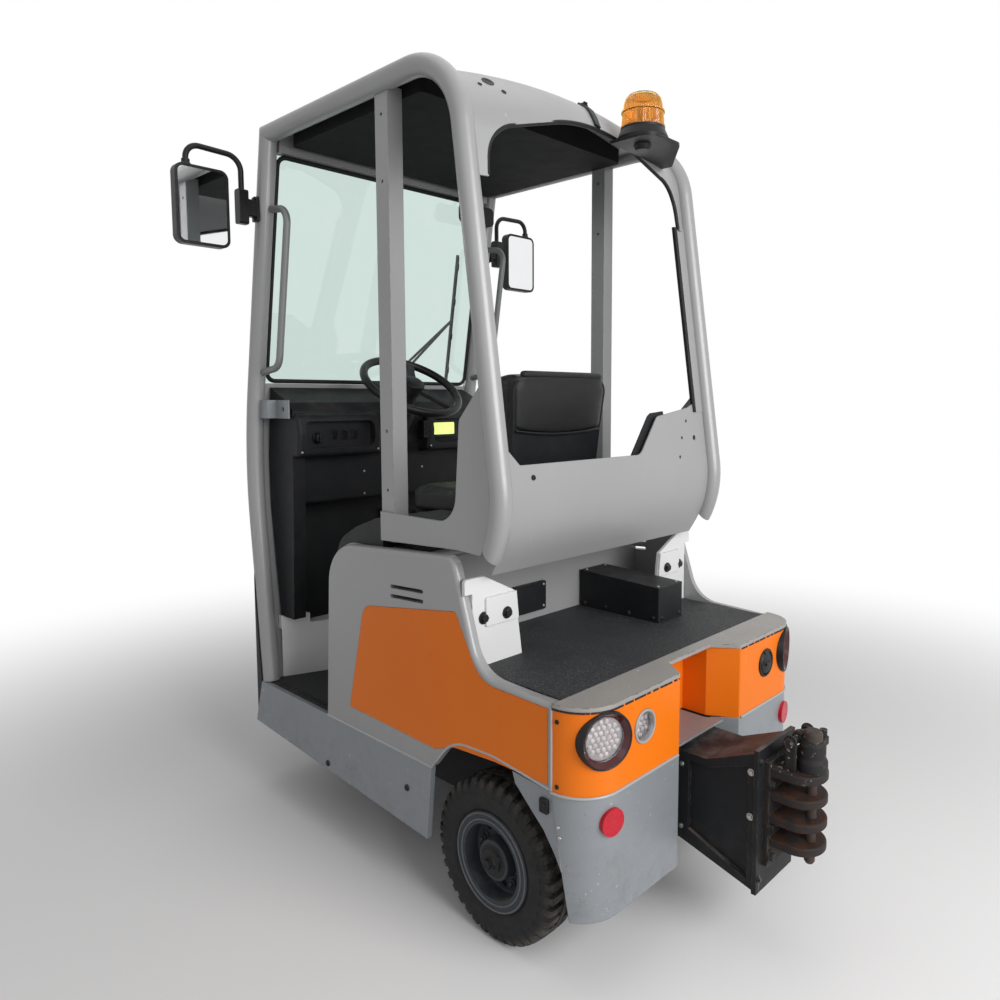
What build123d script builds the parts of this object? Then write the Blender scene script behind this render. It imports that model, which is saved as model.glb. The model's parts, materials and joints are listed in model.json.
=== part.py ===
from build123d import *

import os
from math import cos, radians, sin, sqrt

# Electric tow tractor: three wheels, an open driver's cab, a rear load deck and a towing coupler.
# Pieces are drawn in mm with x forward from the rear axle, y to the left and z up from the floor.
# Each is then shifted along x so that the finished part is centred over its length.

# Clearances
FIT_GAP = 0.3
SEAM_GAP = 0.5

# Overall places: the wheelbase carries the front end with it, the half width both sides
BODY_HALF_W = 500.0
WHEELBASE = 950.0
NOSE_FRONT_X = WHEELBASE + 265
COUPLER_REAR_X = -635.0
MID_X = (NOSE_FRONT_X + COUPLER_REAR_X) / 2

# Wheels
WHEEL_R = 205.0
TYRE_HALF_W = 55.0
TYRE_SHOULDER_W = 9.0
TYRE_SHOULDER_H = 30.0
TRACK_HALF = BODY_HALF_W - 77
RIM_R = 102.0
RIM_LIP_R = 124.0
RIM_BEAD_HALF_W = 46.0
RIM_LIP_T = 8.0
RIM_WALL = 8.0
RIM_DISC_T = 12.0
RIM_HOLES = 8
RIM_HOLE_R = 9.0
RIM_HOLE_RING_R = 76.0
REAR_SPINDLE_R = 28.0
REAR_HUB_R = 50.0
REAR_HUB_IN = -20.0
REAR_HUB_OUT = 44.0
FRONT_AXLE_R = 15.0
FRONT_HUB_R = 45.0
FRONT_HUB_HALF_L = 60.0

# Frame and axle
FRAME_OUT_Y = 270.0
FRAME_T = 12.0
FRAME_IN_Y = FRAME_OUT_Y - FRAME_T
FRAME_REAR_X = -170.0
FRAME_FRONT_X = NOSE_FRONT_X - 43
FRAME_TOP_Z = 470.0
TRAY_Z = 190.0
TRAY_REAR_X = 140.0
SADDLE_Z = 262.0
SADDLE_HALF_L = 45.0
PLATFORM_Z = 560.0
PLATFORM_T = 12.0
PLATFORM_TOP_Z = PLATFORM_Z + PLATFORM_T
RISER_X = WHEELBASE - 258
WHEEL_WALL_X = RISER_X + 20
BRIDGE_Z = 500.0
BRIDGE_T = 16.0
KINGPIN_R = 30.0
AXLE_R = 50.0
AXLE_END_Y = TRACK_HALF - 78
DRUM_R = 85.0
GEARCASE_R = 100.0
GEARCASE_HALF_W = 90.0
GEARCASE_TAPER = 25.0
BUMPER_Z = 246.0
BATTERY_X = (285.0, RISER_X - 32)
BATTERY_HALF_W = 245.0
BATTERY_TOP_Z = 620.0

# Fork
FORK_LEG_IN_Y = 70.0
FORK_LEG_T = 20.0
FORK_LEG_HALF_W = 32.0
FORK_CROWN_Z = 455.0
FORK_CROWN_HALF_L = 60.0

# Body skins
PANEL_T = 26.0
PANEL_IN_Y = BODY_HALF_W - PANEL_T
SILL_T = 15.0
SILL_TOP_Z = 392.0
SILL_LOW_Z = 188.0
ARCH_X = 196.0
STEP_T = 8.0
INLAY_T = 3.5
INLAY_DEPTH = 3.0
SHEET_T = 6.0
CORNER_X = -224.0
REAR_X = -328.0
CORNER_R = 104.0
NOTCH_HALF_W = 148.0
NOTCH_FLOOR_HALF_W = 102.0
NOTCH_X = -250.0
NOTCH_DEEP_X = -176.0
BAND_Z = 474.0
SKIRT_LOW_Z = 185.0
DECK_Z = 668.0
DECK_T = 6.0
MAT_T = 4.0
MAT_EDGE = 6.0
MAT_Z = DECK_Z + DECK_T
MAT_TOP_Z = MAT_Z + MAT_T
BULKHEAD_X = 262.0
SEAT_BOX_Z = 930.0
SEAT_BOX_R = 110.0
CONTROL_REAR_X = -50.0
CONTROL_Y = (-290.0, -165.0)
CONTROL_TOP_Z = 795.0
CONTROL_FALL = 12.0
SOCKET_Y = (2.0, 143.0)
SOCKET_Z = (702.0, 790.0)
SOCKET_T = 10.0

# Lamps let into the tail: inset from the body's side, height, ring radius, lens radius
TAIL_LAMPS = [
    (72.0, 599.0, 66.0, 53.0),
    (206.0, 592.0, 40.0, 33.0),
]
LAMP_PROUD = 3.0
LAMP_DEPTH = 34.0
REFLECTOR_INSET = 86.0
REFLECTOR_Z = 411.0
REFLECTOR_R = 32.0
HEADLAMP_X = NOSE_FRONT_X - 29
HEADLAMP_INSET = 170.0
HEADLAMP_Z = 720.0
HEADLAMP_RING_R = 62.0
HEADLAMP_LENS_R = 52.0
HEADLAMP_DEPTH = 28.0
HEADLAMP_PROUD = 10.0

# Cab frame
TUBE_R = 27.5
TUBE_Y = BODY_HALF_W - 30
RAIL_Z = 2162.0
TUBE_FOOT = (61.0, 860.0)
TUBE_END_Z = 840.0
TUBE_KNEE = (-50.0, 1039.0)
TUBE_KNEE_R = 290.0
TUBE_CORNER = (110.0, RAIL_Z)
TUBE_CORNER_R = 200.0
PILLAR_TOP = (WHEELBASE + 46, RAIL_Z)
PILLAR_BEND = (WHEELBASE + 218, 1150.0)
PILLAR_BEND_R = 1600.0
PILLAR_FOOT = (WHEELBASE + 137, 383.0)
SKIN_T = 4.0
SKIN_HALF_W = TUBE_Y - TUBE_R - FIT_GAP
ROOF_CROWN = 48.0
ROOF_EDGE_Z = RAIL_Z - 292
ROOF_FRONT_X = PILLAR_TOP[0] - 16
LINER_X = (300.0, PILLAR_TOP[0] - 46)
LINER_LOW_Z = RAIL_Z - 36
POST_X = (375.0, 430.0)
POST_IN_Y = BODY_HALF_W - 75
POST_LOW_Z = 955.0
HINGE_HOLES = (2080.0, 1910.0, 1255.0, 1095.0)
HINGE_HOLE_R = 4.5
QUARTER_Y = BODY_HALF_W - 28
FOOT_X = 62.0
FOOT_T = 10.0
FOOT_LAP_T = 6.0
FOOT_LAP_Z = 777.0
BRACKET_X = (WHEELBASE + 30, WHEELBASE + 148)
BRACKET_Z = (1278.0, 1338.0)
BRACKET_Y = TUBE_Y - TUBE_R - 8
BRACKET_HOLE_R = 8.0

# Windscreen and its wiper
GLASS_Z = (1396.0, 2112.0)
GLASS_HALF_T = 3.0
WIPER_FOOT_Z = 1440.0
WIPER_OFF = 14.0
WIPER_Y = -347.0
WIPER_Z = (1410.0, 1909.0)
WIPER_JOINT_Z = 1655.0
WIPER_MOTOR_Y = (-150.0, -80.0)

# Tow box and coupler
TOW_HALF_W = 90.0
TOW_T = 8.0
TOW_REAR_X = -512.0
TOW_PLATE_T = 12.0
TOW_PLATE_Z = (165.0, 520.0)
TOW_FLANGE_W = 16.0
TOW_RECESS = 10.0
JAW_HALF_W = 62.0
JAW_T = 21.5
JAW_PITCH = 57.5
JAW_LOW_Z = 290.0
JAW_COUNT = 4
JAW_TOP_Z = JAW_LOW_Z + (JAW_COUNT - 1) * JAW_PITCH
FLANGE_T = 14.0
FLANGE_HALF_W = 68.0
PIN_X = -600.0
PIN_R = 12.5
PIN_LOW_Z = 243.0
HEAD_R = 30.0
HEAD_TOP_Z = 545.0
KNOB_R = 22.0
KNOB_H = 24.0

# Driver's place
STEER_CENTRE = (WHEELBASE - 45, 1386.0)
STEER_TILT = 33.0
STEER_RIM_R = 175.0
STEER_GRIP_R = 14.0
STEER_HUB_R = 42.0
STEER_SHAFT_R = 12.0
COLUMN_R = 32.0
COLUMN_L = 110.0
DASH_X = PILLAR_BEND[0] - 183
DASH_TOP_Z = 1380.0
POD_IN_Y = 105.0
POD_Z = (1146.0, 1290.0)
KNEE_LOW_Z = 987.0
SEAT_BASE_Z = 984.0
SEAT_BASE_X = (300.0, 600.0)
SHELL_LOW = (246.0, SEAT_BASE_Z)
SHELL_HIGH = (203.0, 1400.0)
SHELL_T = 17.0
BACK_Z = (1080.0, 1422.0)
MIRROR_Z = 1930.0

# Beacon
BEACON_X = -10.0
BEACON_Y = -112.0
BEACON_PLATE_Z = RAIL_Z - 115
BEACON_PLATE_T = 8.0
BEACON_BASE_H = 36.0
BEACON_BASE_R = (72.0, 62.0)
BEACON_DOME_R = 61.0
BEACON_DOME_H = 92.0
BEACON_RIDGE_H = 44.0


def slope(low, high):
    """Change of x for each mm of height between two (x, z) points."""
    return (high[0] - low[0]) / (high[1] - low[1])


def foot_x(z):
    """Place of the lower straight run of the cab tube at a height."""
    return TUBE_FOOT[0] + slope(TUBE_FOOT, TUBE_KNEE) * (z - TUBE_FOOT[1])


def back_x(z):
    """Place of the upper straight run of the cab tube at a height."""
    return TUBE_KNEE[0] + slope(TUBE_KNEE, TUBE_CORNER) * (z - TUBE_KNEE[1])


def screen_x(z):
    """Place of the windscreen pillar's upper run at a height."""
    return PILLAR_TOP[0] + slope(PILLAR_TOP, PILLAR_BEND) * (z - PILLAR_TOP[1])


def shin_x(z):
    """Place of the windscreen pillar's lower run at a height."""
    return PILLAR_FOOT[0] + slope(PILLAR_FOOT, PILLAR_BEND) * (z - PILLAR_FOOT[1])


def roof_rise(y):
    """Height of the crowned roof above the rails at a distance from the middle."""
    crown_r = (SKIN_HALF_W**2 + ROOF_CROWN**2) / (2 * ROOF_CROWN)
    return ROOF_CROWN - crown_r + sqrt(crown_r**2 - y**2)


def outline(corners):
    """Closed flat face from rows of (u, v, corner radius)."""
    points = [(u, v) for u, v, r in corners]
    radii = [r for u, v, r in corners]
    return make_face(FilletPolyline(*points, radius=radii, close=True))


def prism_y(corners, y0, y1):
    """Solid with an (x, z) outline, from y0 to y1."""
    face = Plane.XZ * outline(corners)
    return Pos(0, y0, 0) * extrude(face, amount=y1 - y0, dir=(0, 1, 0))


def prism_x(corners, x0, x1):
    """Solid with a (y, z) outline, from x0 to x1."""
    face = Plane.YZ * outline(corners)
    return Pos(x0, 0, 0) * extrude(face, amount=x1 - x0, dir=(1, 0, 0))


def prism_z(corners, z0, z1):
    """Solid with an (x, y) outline, from z0 to z1."""
    return Pos(0, 0, z0) * extrude(outline(corners), amount=z1 - z0, dir=(0, 0, 1))


def block(x0, x1, y0, y1, z0, z1):
    """Box between two corners."""
    centre = Pos((x0 + x1) / 2, (y0 + y1) / 2, (z0 + z1) / 2)
    return centre * Box(x1 - x0, y1 - y0, z1 - z0)


def rod(start, end, r):
    """Round bar between two points."""
    along = Vector(*end) - Vector(*start)
    base = Plane(origin=start, z_dir=along)
    return base * Cylinder(r, along.length, align=(Align.CENTER, Align.CENTER, Align.MIN))


def side_path(points, radii):
    """Path in the XZ plane through (x, z) points, its inner corners rounded."""
    return Plane.XZ * FilletPolyline(*points, radius=radii)


def bar(path, r):
    """Round bar along a path."""
    return sweep(Plane(origin=path @ 0, z_dir=path % 0) * Circle(r), path=path)


def sheet(path, half_w, t):
    """Bent sheet along a path in the XZ plane, spanning the width evenly."""
    section = Plane(origin=path @ 0, x_dir=(0, 1, 0), z_dir=path % 0) * Rectangle(2 * half_w, t)
    return sweep(section, path=path)


def crowned(half_w, crown, low, high):
    """Flat face between two equal arcs that rise to the crown in the middle."""
    under = ThreePointArc((-half_w, low), (0, crown + low), (half_w, low))
    over = ThreePointArc((half_w, high), (0, crown + high), (-half_w, high))
    ends = [Line((half_w, low), (half_w, high)), Line((-half_w, high), (-half_w, low))]
    return make_face(Curve() + [under, ends[0], over, ends[1]])


def turned(rows):
    """Solid turned about the y axis from rows of (y, radius, corner radius)."""
    return revolve(Plane.YZ * outline(rows), axis=Axis.Y)


def spun(rows):
    """Solid turned about the z axis from rows of (radius, z, corner radius)."""
    return revolve(Plane.XZ * outline(rows), axis=Axis.Z)


def pair(shape):
    """A piece and its mirror image on the right-hand side."""
    return [shape, mirror(shape, about=Plane.XZ)]


def largest(shape):
    """The largest of a shape's solids."""
    return shape.solids().sort_by(SortBy.VOLUME)[-1]


def save(node, *shapes):
    """Writes the solids of one node in the part's own frame."""
    solids = [solid for shape in shapes for solid in shape.solids()]
    export_step(Pos(-MID_X, 0, 0) * Compound(solids), f"parts/{node}.step")


# Wheels


def rim(bore_r, hub_r, hub_in, hub_out, cap):
    """Pressed rim with two lips, a holed disc and a hub; cap closes the bore's outer end."""
    lip = RIM_BEAD_HALF_W + RIM_LIP_T
    well = RIM_R - RIM_WALL
    bead = RIM_BEAD_HALF_W + FIT_GAP
    end_r = 0 if cap else bore_r
    rows = [
        (hub_in, bore_r, 0),
        (hub_in, hub_r, 0),
        (-RIM_DISC_T / 2, hub_r, 4),
        (-RIM_DISC_T / 2, well, 6),
        (-lip, well, 0),
        (-lip, RIM_LIP_R, 3),
        (-bead, RIM_LIP_R, 0),
        (-bead, RIM_R, 0),
        (bead, RIM_R, 0),
        (bead, RIM_LIP_R, 0),
        (lip, RIM_LIP_R, 3),
        (lip, well, 0),
        (RIM_DISC_T / 2, well, 6),
        (RIM_DISC_T / 2, hub_r, 4),
        (hub_out, hub_r, 3),
        (hub_out, end_r, 0),
    ]
    if cap:
        rows.append((hub_out - RIM_DISC_T, 0, 0))
        rows.append((hub_out - RIM_DISC_T, bore_r, 0))
    body = turned(rows)
    for i in range(RIM_HOLES):
        hole = rod((RIM_HOLE_RING_R, -RIM_DISC_T, 0), (RIM_HOLE_RING_R, RIM_DISC_T, 0), RIM_HOLE_R)
        body -= Rot(0, i * 360 / RIM_HOLES, 0) * hole
    return body


def tyre():
    """Tyre with a crowned tread, seated on the rim's beads."""
    seat = RIM_R + FIT_GAP
    lip = RIM_LIP_R + FIT_GAP
    tread_half_w = TYRE_HALF_W - TYRE_SHOULDER_W
    half = [
        (RIM_BEAD_HALF_W, seat, 0),
        (RIM_BEAD_HALF_W, lip, 0),
        (TYRE_HALF_W, lip + RIM_LIP_T, 6),
        (TYRE_HALF_W, WHEEL_R - TYRE_SHOULDER_H, 25),
        (tread_half_w, WHEEL_R, 12),
    ]
    return turned([(-y, r, corner) for y, r, corner in half] + half[::-1])


def wheels():
    """Two rear wheels on the axle's spindles and the single steered front wheel."""
    rear_rim = rim(REAR_SPINDLE_R + FIT_GAP, REAR_HUB_R, REAR_HUB_IN, REAR_HUB_OUT, True)
    front_rim = rim(
        FRONT_AXLE_R + FIT_GAP, FRONT_HUB_R, -FRONT_HUB_HALF_L, FRONT_HUB_HALF_L, False
    )
    rubber = tyre()
    for side, turn, y in (("left", 0, TRACK_HALF), ("right", 180, -TRACK_HALF)):
        place = Pos(0, y, WHEEL_R) * Rot(0, 0, turn)
        save(f"rear_rim_{side}", place * rear_rim)
        save(f"rear_tyre_{side}", place * rubber)
    save("front_rim", Pos(WHEELBASE, 0, WHEEL_R) * front_rim)
    save("front_tyre", Pos(WHEELBASE, 0, WHEEL_R) * rubber)


def steer_fork():
    """Fork that carries the front wheel and turns on its kingpin."""
    leg_out = FORK_LEG_IN_Y + FORK_LEG_T
    crown_top = BRIDGE_Z - FIT_GAP
    foot_z = WHEEL_R - FORK_LEG_HALF_W
    pin_stand = 20
    leg = prism_y(
        [
            (-FORK_LEG_HALF_W, foot_z, FORK_LEG_HALF_W - 1),
            (FORK_LEG_HALF_W, foot_z, FORK_LEG_HALF_W - 1),
            (FORK_CROWN_HALF_L, FORK_CROWN_Z, 0),
            (-FORK_CROWN_HALF_L, FORK_CROWN_Z, 0),
        ],
        FORK_LEG_IN_Y,
        leg_out,
    )
    crown = block(
        -FORK_CROWN_HALF_L, FORK_CROWN_HALF_L, -leg_out, leg_out, FORK_CROWN_Z, crown_top
    )
    crown = fillet(crown.edges().filter_by(Axis.Z), FORK_LEG_T)
    pin = rod((0, 0, crown_top - 1), (0, 0, BRIDGE_Z + BRIDGE_T + pin_stand), KINGPIN_R)
    axle = rod((0, -leg_out, WHEEL_R), (0, leg_out, WHEEL_R), FRONT_AXLE_R)
    fork = crown + pin + axle
    for side in pair(leg):
        fork += side
    save("steer_fork", Pos(WHEELBASE, 0, 0) * fork)


# Chassis


def main_frame():
    """Two side plates joined by cross plates, the battery tray and the kingpin bridge."""
    end_drop = 32
    front_drop = 60
    side = prism_y(
        [
            (FRAME_REAR_X, SADDLE_Z, 0),
            (FRAME_REAR_X, FRAME_TOP_Z, 0),
            (RISER_X, FRAME_TOP_Z, 0),
            (RISER_X, PLATFORM_Z, 0),
            (FRAME_FRONT_X, PLATFORM_Z, 0),
            (FRAME_FRONT_X, BUMPER_Z, 0),
            (RISER_X, TRAY_Z, 0),
            (TRAY_REAR_X, TRAY_Z, 40),
            (TRAY_REAR_X - 30, SADDLE_Z, 20),
        ],
        FRAME_IN_Y,
        FRAME_OUT_Y,
    )
    inner = FRAME_IN_Y
    rear_end = FRAME_REAR_X + FRAME_T
    frame = block(FRAME_REAR_X, rear_end, -inner, inner, SADDLE_Z - end_drop, DECK_Z)
    frame += block(TRAY_REAR_X, WHEEL_WALL_X, -inner, inner, TRAY_Z, TRAY_Z + FRAME_T)
    frame += block(WHEEL_WALL_X - FRAME_T, WHEEL_WALL_X, -inner, inner, TRAY_Z, PLATFORM_Z)
    bridge = block(WHEEL_WALL_X, FRAME_FRONT_X, -inner, inner, BRIDGE_Z, BRIDGE_Z + BRIDGE_T)
    low = (WHEELBASE, 0, BRIDGE_Z - 1)
    high = (WHEELBASE, 0, BRIDGE_Z + BRIDGE_T + 1)
    frame += bridge - rod(low, high, KINGPIN_R + FIT_GAP)
    front_end = FRAME_FRONT_X - FRAME_T
    frame += block(front_end, FRAME_FRONT_X, -inner, inner, BRIDGE_Z - front_drop, PLATFORM_Z)
    for plate in pair(side):
        frame += plate
    save("main_frame", frame)


def rear_axle():
    """Drive axle: tube, gear case, brake drums, spindles and the two saddles under the frame."""
    axle = rod((0, -AXLE_END_Y, WHEEL_R), (0, AXLE_END_Y, WHEEL_R), AXLE_R)
    flank_r = GEARCASE_R - GEARCASE_TAPER
    half_flat = GEARCASE_HALF_W - 40
    case = turned(
        [
            (-GEARCASE_HALF_W, 0, 0),
            (-GEARCASE_HALF_W, flank_r, 20),
            (-half_flat, GEARCASE_R, 20),
            (half_flat, GEARCASE_R, 20),
            (GEARCASE_HALF_W, flank_r, 20),
            (GEARCASE_HALF_W, 0, 0),
        ]
    )
    axle += Pos(0, 0, WHEEL_R) * case
    drum = rod((0, AXLE_END_Y - 15, WHEEL_R), (0, AXLE_END_Y + 12, WHEEL_R), DRUM_R)
    spindle_end = TRACK_HALF + REAR_HUB_OUT - RIM_DISC_T - 4
    spindle = rod((0, AXLE_END_Y, WHEEL_R), (0, spindle_end, WHEEL_R), REAR_SPINDLE_R)
    saddle = block(-SADDLE_HALF_L, SADDLE_HALF_L, FRAME_IN_Y, FRAME_OUT_Y, WHEEL_R, SADDLE_Z)
    for piece in (drum, spindle, saddle):
        for side in pair(piece):
            axle += side
    save("rear_axle", axle)


def battery():
    """Traction battery in its tray under the seat."""
    case = block(
        *BATTERY_X, -BATTERY_HALF_W, BATTERY_HALF_W, TRAY_Z + FRAME_T, BATTERY_TOP_Z
    )
    save("battery", fillet(case.edges().filter_by(Axis.Z), 12))


def foot_platform():
    """Raised floor over the front wheel, with skirts down to the steps and blocks for the dash."""
    front_x = PILLAR_FOOT[0] - 2
    flare_x = front_x - 55
    flare_y = BODY_HALF_W - 70
    block_in_y = flare_y - 90
    block_h = 33
    side_y = FRAME_OUT_Y + SHEET_T
    edge_x = shin_x(PLATFORM_Z) - SKIN_T / 2 - FIT_GAP
    half = [(RISER_X, side_y, 0), (flare_x, side_y, 0), (front_x, flare_y, 0), (edge_x, flare_y, 0)]
    mirrored = [(x, -y, r) for x, y, r in reversed(half)]
    floor = prism_z(half + mirrored, PLATFORM_Z, PLATFORM_TOP_Z)
    wall = prism_z(
        [
            (RISER_X, FRAME_OUT_Y, 0),
            (RISER_X, side_y, 0),
            (flare_x, side_y, 0),
            (front_x, flare_y, 0),
            (front_x, flare_y - 3 * SHEET_T, 0),
            (flare_x + SHEET_T / 2, FRAME_OUT_Y, 0),
        ],
        SILL_TOP_Z,
        PLATFORM_Z,
    )
    inset = (flare_y - block_in_y) * (front_x - flare_x) / (flare_y - side_y)
    raised = prism_z(
        [
            (front_x - inset, block_in_y, 0),
            (front_x, flare_y, 0),
            (edge_x, flare_y, 0),
            (edge_x, block_in_y, 0),
        ],
        PLATFORM_Z,
        PLATFORM_TOP_Z + block_h,
    )
    for piece in (wall, raised):
        for side in pair(piece):
            floor += side
    save("foot_platform", floor)
    mat_x = (RISER_X + 12, flare_x)
    mat = block(*mat_x, -FRAME_IN_Y, FRAME_IN_Y, PLATFORM_TOP_Z, PLATFORM_TOP_Z + MAT_T)
    save("floor_mat", fillet(mat.edges().filter_by(Axis.Z), 20))


def entry_steps():
    """Low step plates beside the platform, each with a toothed strip along its outer edge."""
    outer = BODY_HALF_W - SILL_T
    front_x = PILLAR_FOOT[0] + 8
    step = block(RISER_X, front_x, FRAME_OUT_Y, outer, SILL_TOP_Z - STEP_T, SILL_TOP_Z)
    strip_h = 6
    tooth = 16
    strip_x = (RISER_X + 14, PILLAR_FOOT[0] - 66)
    strip = block(*strip_x, outer - 26, outer - 4, SILL_TOP_Z - 1, SILL_TOP_Z + strip_h)
    for i in range(int((strip_x[1] - strip_x[0]) / tooth)):
        x = strip_x[0] + (i + 0.5) * tooth
        strip -= block(x, x + tooth / 2, 0, outer, SILL_TOP_Z + strip_h / 2, SILL_TOP_Z + 2 * strip_h)
    save("entry_steps", *pair(step + strip))


def sills():
    """Outer sill skins, deeper towards the nose."""
    skin = prism_y(
        [
            (PILLAR_FOOT[0] + 11, SILL_TOP_Z, 0),
            (NOSE_FRONT_X - 72, BUMPER_Z, 0),
            (ARCH_X + 21, SILL_LOW_Z, 0),
            (ARCH_X, SILL_TOP_Z, 0),
        ],
        BODY_HALF_W - SILL_T,
        BODY_HALF_W,
    )
    save("sills", *pair(skin))


# Rows of (x, z, corner radius) along the side panel's edge, from its foot over the top to the arch
PANEL_CORNERS = [
    (RISER_X + 5, SILL_TOP_Z, 0),
    (RISER_X - 26, 922, 130),
    (104, 957, 35),
    (15, 683, 100),
    (CORNER_X, MAT_Z, 0),
    (CORNER_X, BAND_Z + 4, 0),
    (-40, 497, 300),
    (112, 490, 130),
    (ARCH_X, SILL_TOP_Z, 0),
]

# The same for the coloured inlay within it
INLAY_CORNERS = [
    (RISER_X - 125, 453, 0),
    (RISER_X - 205, 766, 45),
    (94, 822, 12),
    (8, 667, 90),
    (CORNER_X + 10, 663, 0),
    (CORNER_X + 10, BAND_Z + 14, 0),
    (-40, 485, 300),
    (108, 474, 120),
    (ARCH_X - 17, 447, 0),
]

# Vent slots in the side panel: x and z of the front end, x and z of the rear end
VENT_SLOTS = [
    (361, 842, 220, 850),
    (361, 816, 220, 824),
]
VENT_HALF_H = 5.0


def side_panels():
    """Side panels with rolled edges, a recess for the inlay and two vent slots."""
    panel = prism_y(PANEL_CORNERS, PANEL_IN_Y, BODY_HALF_W)
    rolled = panel.edges().filter_by(lambda e: abs(e.center().Y - BODY_HALF_W) < 0.1)
    rolled = [e for e in rolled if e.center().Z > MAT_Z - 20 and e.center().X < RISER_X - 2]
    panel = fillet(rolled, PANEL_T / 2 - 1)
    face = Plane.XZ * outline(INLAY_CORNERS)
    floor_y = BODY_HALF_W - INLAY_DEPTH
    inlay = Pos(0, floor_y, 0) * extrude(face, amount=INLAY_T, dir=(0, 1, 0))
    pocket = Plane.XZ * offset(outline(INLAY_CORNERS), SEAM_GAP, kind=Kind.INTERSECTION)
    panel -= Pos(0, floor_y, 0) * extrude(pocket, amount=2 * INLAY_T, dir=(0, 1, 0))
    for front_x, front_z, rear_x, rear_z in VENT_SLOTS:
        round_r = VENT_HALF_H - 0.1
        slot = [
            (front_x, front_z - VENT_HALF_H, round_r),
            (front_x, front_z + VENT_HALF_H, round_r),
            (rear_x, rear_z + VENT_HALF_H, round_r),
            (rear_x, rear_z - VENT_HALF_H, round_r),
        ]
        panel -= prism_y(slot, PANEL_IN_Y - 1, BODY_HALF_W + 1)
    save("side_panels", *pair(panel))
    save("side_inlays", *pair(inlay))


def rear_outline(notch_x, notch_half_w, grow):
    """Plan of the body's tail with its centre notch, closed well inside the body."""
    side = BODY_HALF_W + grow
    back = REAR_X - grow
    left = [
        (CORNER_X + CORNER_R + 20, side, 0),
        (back, side, CORNER_R + grow),
        (back, NOTCH_HALF_W - grow, 6),
        (notch_x, notch_half_w - grow, 0),
    ]
    right = [(x, -y, r) for x, y, r in reversed(left)]
    return left + right


def rear_shell(notch_x, notch_half_w, deep_x, z0, z1):
    """Wall of even thickness round the tail; deep_x is the far end of its notch."""
    corners = rear_outline(notch_x, notch_half_w, 0)
    half = len(corners) // 2
    deep = [(deep_x, notch_half_w, 0), (deep_x, -notch_half_w, 0)] if deep_x > notch_x else []
    plan = outline(corners[:half] + deep + corners[half:])
    wall = plan - offset(plan, -SHEET_T, kind=Kind.INTERSECTION)
    shell = Pos(0, 0, z0) * extrude(wall, amount=z1 - z0, dir=(0, 0, 1))
    inner_y = notch_half_w + SHEET_T
    for side in pair(block(CORNER_X, 0, inner_y, 2 * BODY_HALF_W, z0, z1)):
        shell -= side
    return shell - block(deep_x + SHEET_T, 0, -inner_y, inner_y, z0, z1)


def tail_frame(inset, z):
    """Plane on the tail's skin at a height, its normal pointing out of the body."""
    y = BODY_HALF_W - inset
    lean = max(0.0, CORNER_R - inset) / CORNER_R
    along = sqrt(1 - lean * lean)
    x = REAR_X + CORNER_R * (1 - along)
    return Plane(origin=(x, y, z), x_dir=(lean, along, 0), z_dir=(-along, lean, 0))


def disc(plane, r, low, high):
    """Round plug on a plane, from low to high along its normal."""
    centred = (Align.CENTER, Align.CENTER, Align.MIN)
    return plane * Pos(0, 0, low) * Cylinder(r, high - low, align=centred)


def tail():
    """Coloured rear cover with its lamps, and the skirt below it with its reflectors."""
    cover = rear_shell(NOTCH_X, NOTCH_FLOOR_HALF_W, NOTCH_DEEP_X, BAND_Z, DECK_Z)
    rings = []
    lenses = []
    for inset, z, ring_r, lens_r in TAIL_LAMPS:
        seat = tail_frame(inset, z)
        for side in pair(disc(seat, ring_r + SEAM_GAP, -2 * LAMP_DEPTH, LAMP_DEPTH)):
            cover -= side
        bowl = disc(seat, ring_r, -LAMP_DEPTH, LAMP_PROUD)
        bowl -= disc(seat, lens_r, -LAMP_DEPTH / 2, LAMP_DEPTH)
        rings += pair(bowl)
        lenses += pair(disc(seat, lens_r - FIT_GAP, -LAMP_DEPTH / 2, -LAMP_PROUD))
    save("rear_cover", cover)
    skirt_notch_x = NOTCH_X - 23
    skirt = rear_shell(
        skirt_notch_x, NOTCH_FLOOR_HALF_W - 2, skirt_notch_x, SKIRT_LOW_Z, BAND_Z
    )
    tow_y = TOW_HALF_W + SEAM_GAP
    skirt -= block(2 * REAR_X, 0, -tow_y, tow_y, 0, BAND_Z)
    wheel_edge = prism_y(
        [
            (CORNER_X, BAND_Z + 1, 0),
            (CORNER_X - 46, SKIRT_LOW_Z - 5, 0),
            (0, SKIRT_LOW_Z - 5, 0),
            (0, BAND_Z + 1, 0),
        ],
        2 * NOTCH_FLOOR_HALF_W,
        2 * BODY_HALF_W,
    )
    for side in pair(wheel_edge):
        skirt -= side
    ledge_y = TOW_HALF_W
    ledge = [(REAR_X + 28, -ledge_y - 22, 0), (NOTCH_X - 5, -ledge_y, 0), (NOTCH_DEEP_X, -ledge_y, 0)]
    ledge += [(x, -y, r) for x, y, r in reversed(ledge)]
    save("rear_skirt", skirt + prism_z(ledge, BAND_Z - SHEET_T, BAND_Z))
    plan = outline(rear_outline(NOTCH_X, NOTCH_FLOOR_HALF_W, FIT_GAP))
    body = extrude(plan, amount=BAND_Z, dir=(0, 0, 1))
    seat = tail_frame(REFLECTOR_INSET, REFLECTOR_Z)
    reflector = disc(seat, REFLECTOR_R, -20, 7) - body
    save("reflectors", *pair(reflector))
    return rings, lenses


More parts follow.
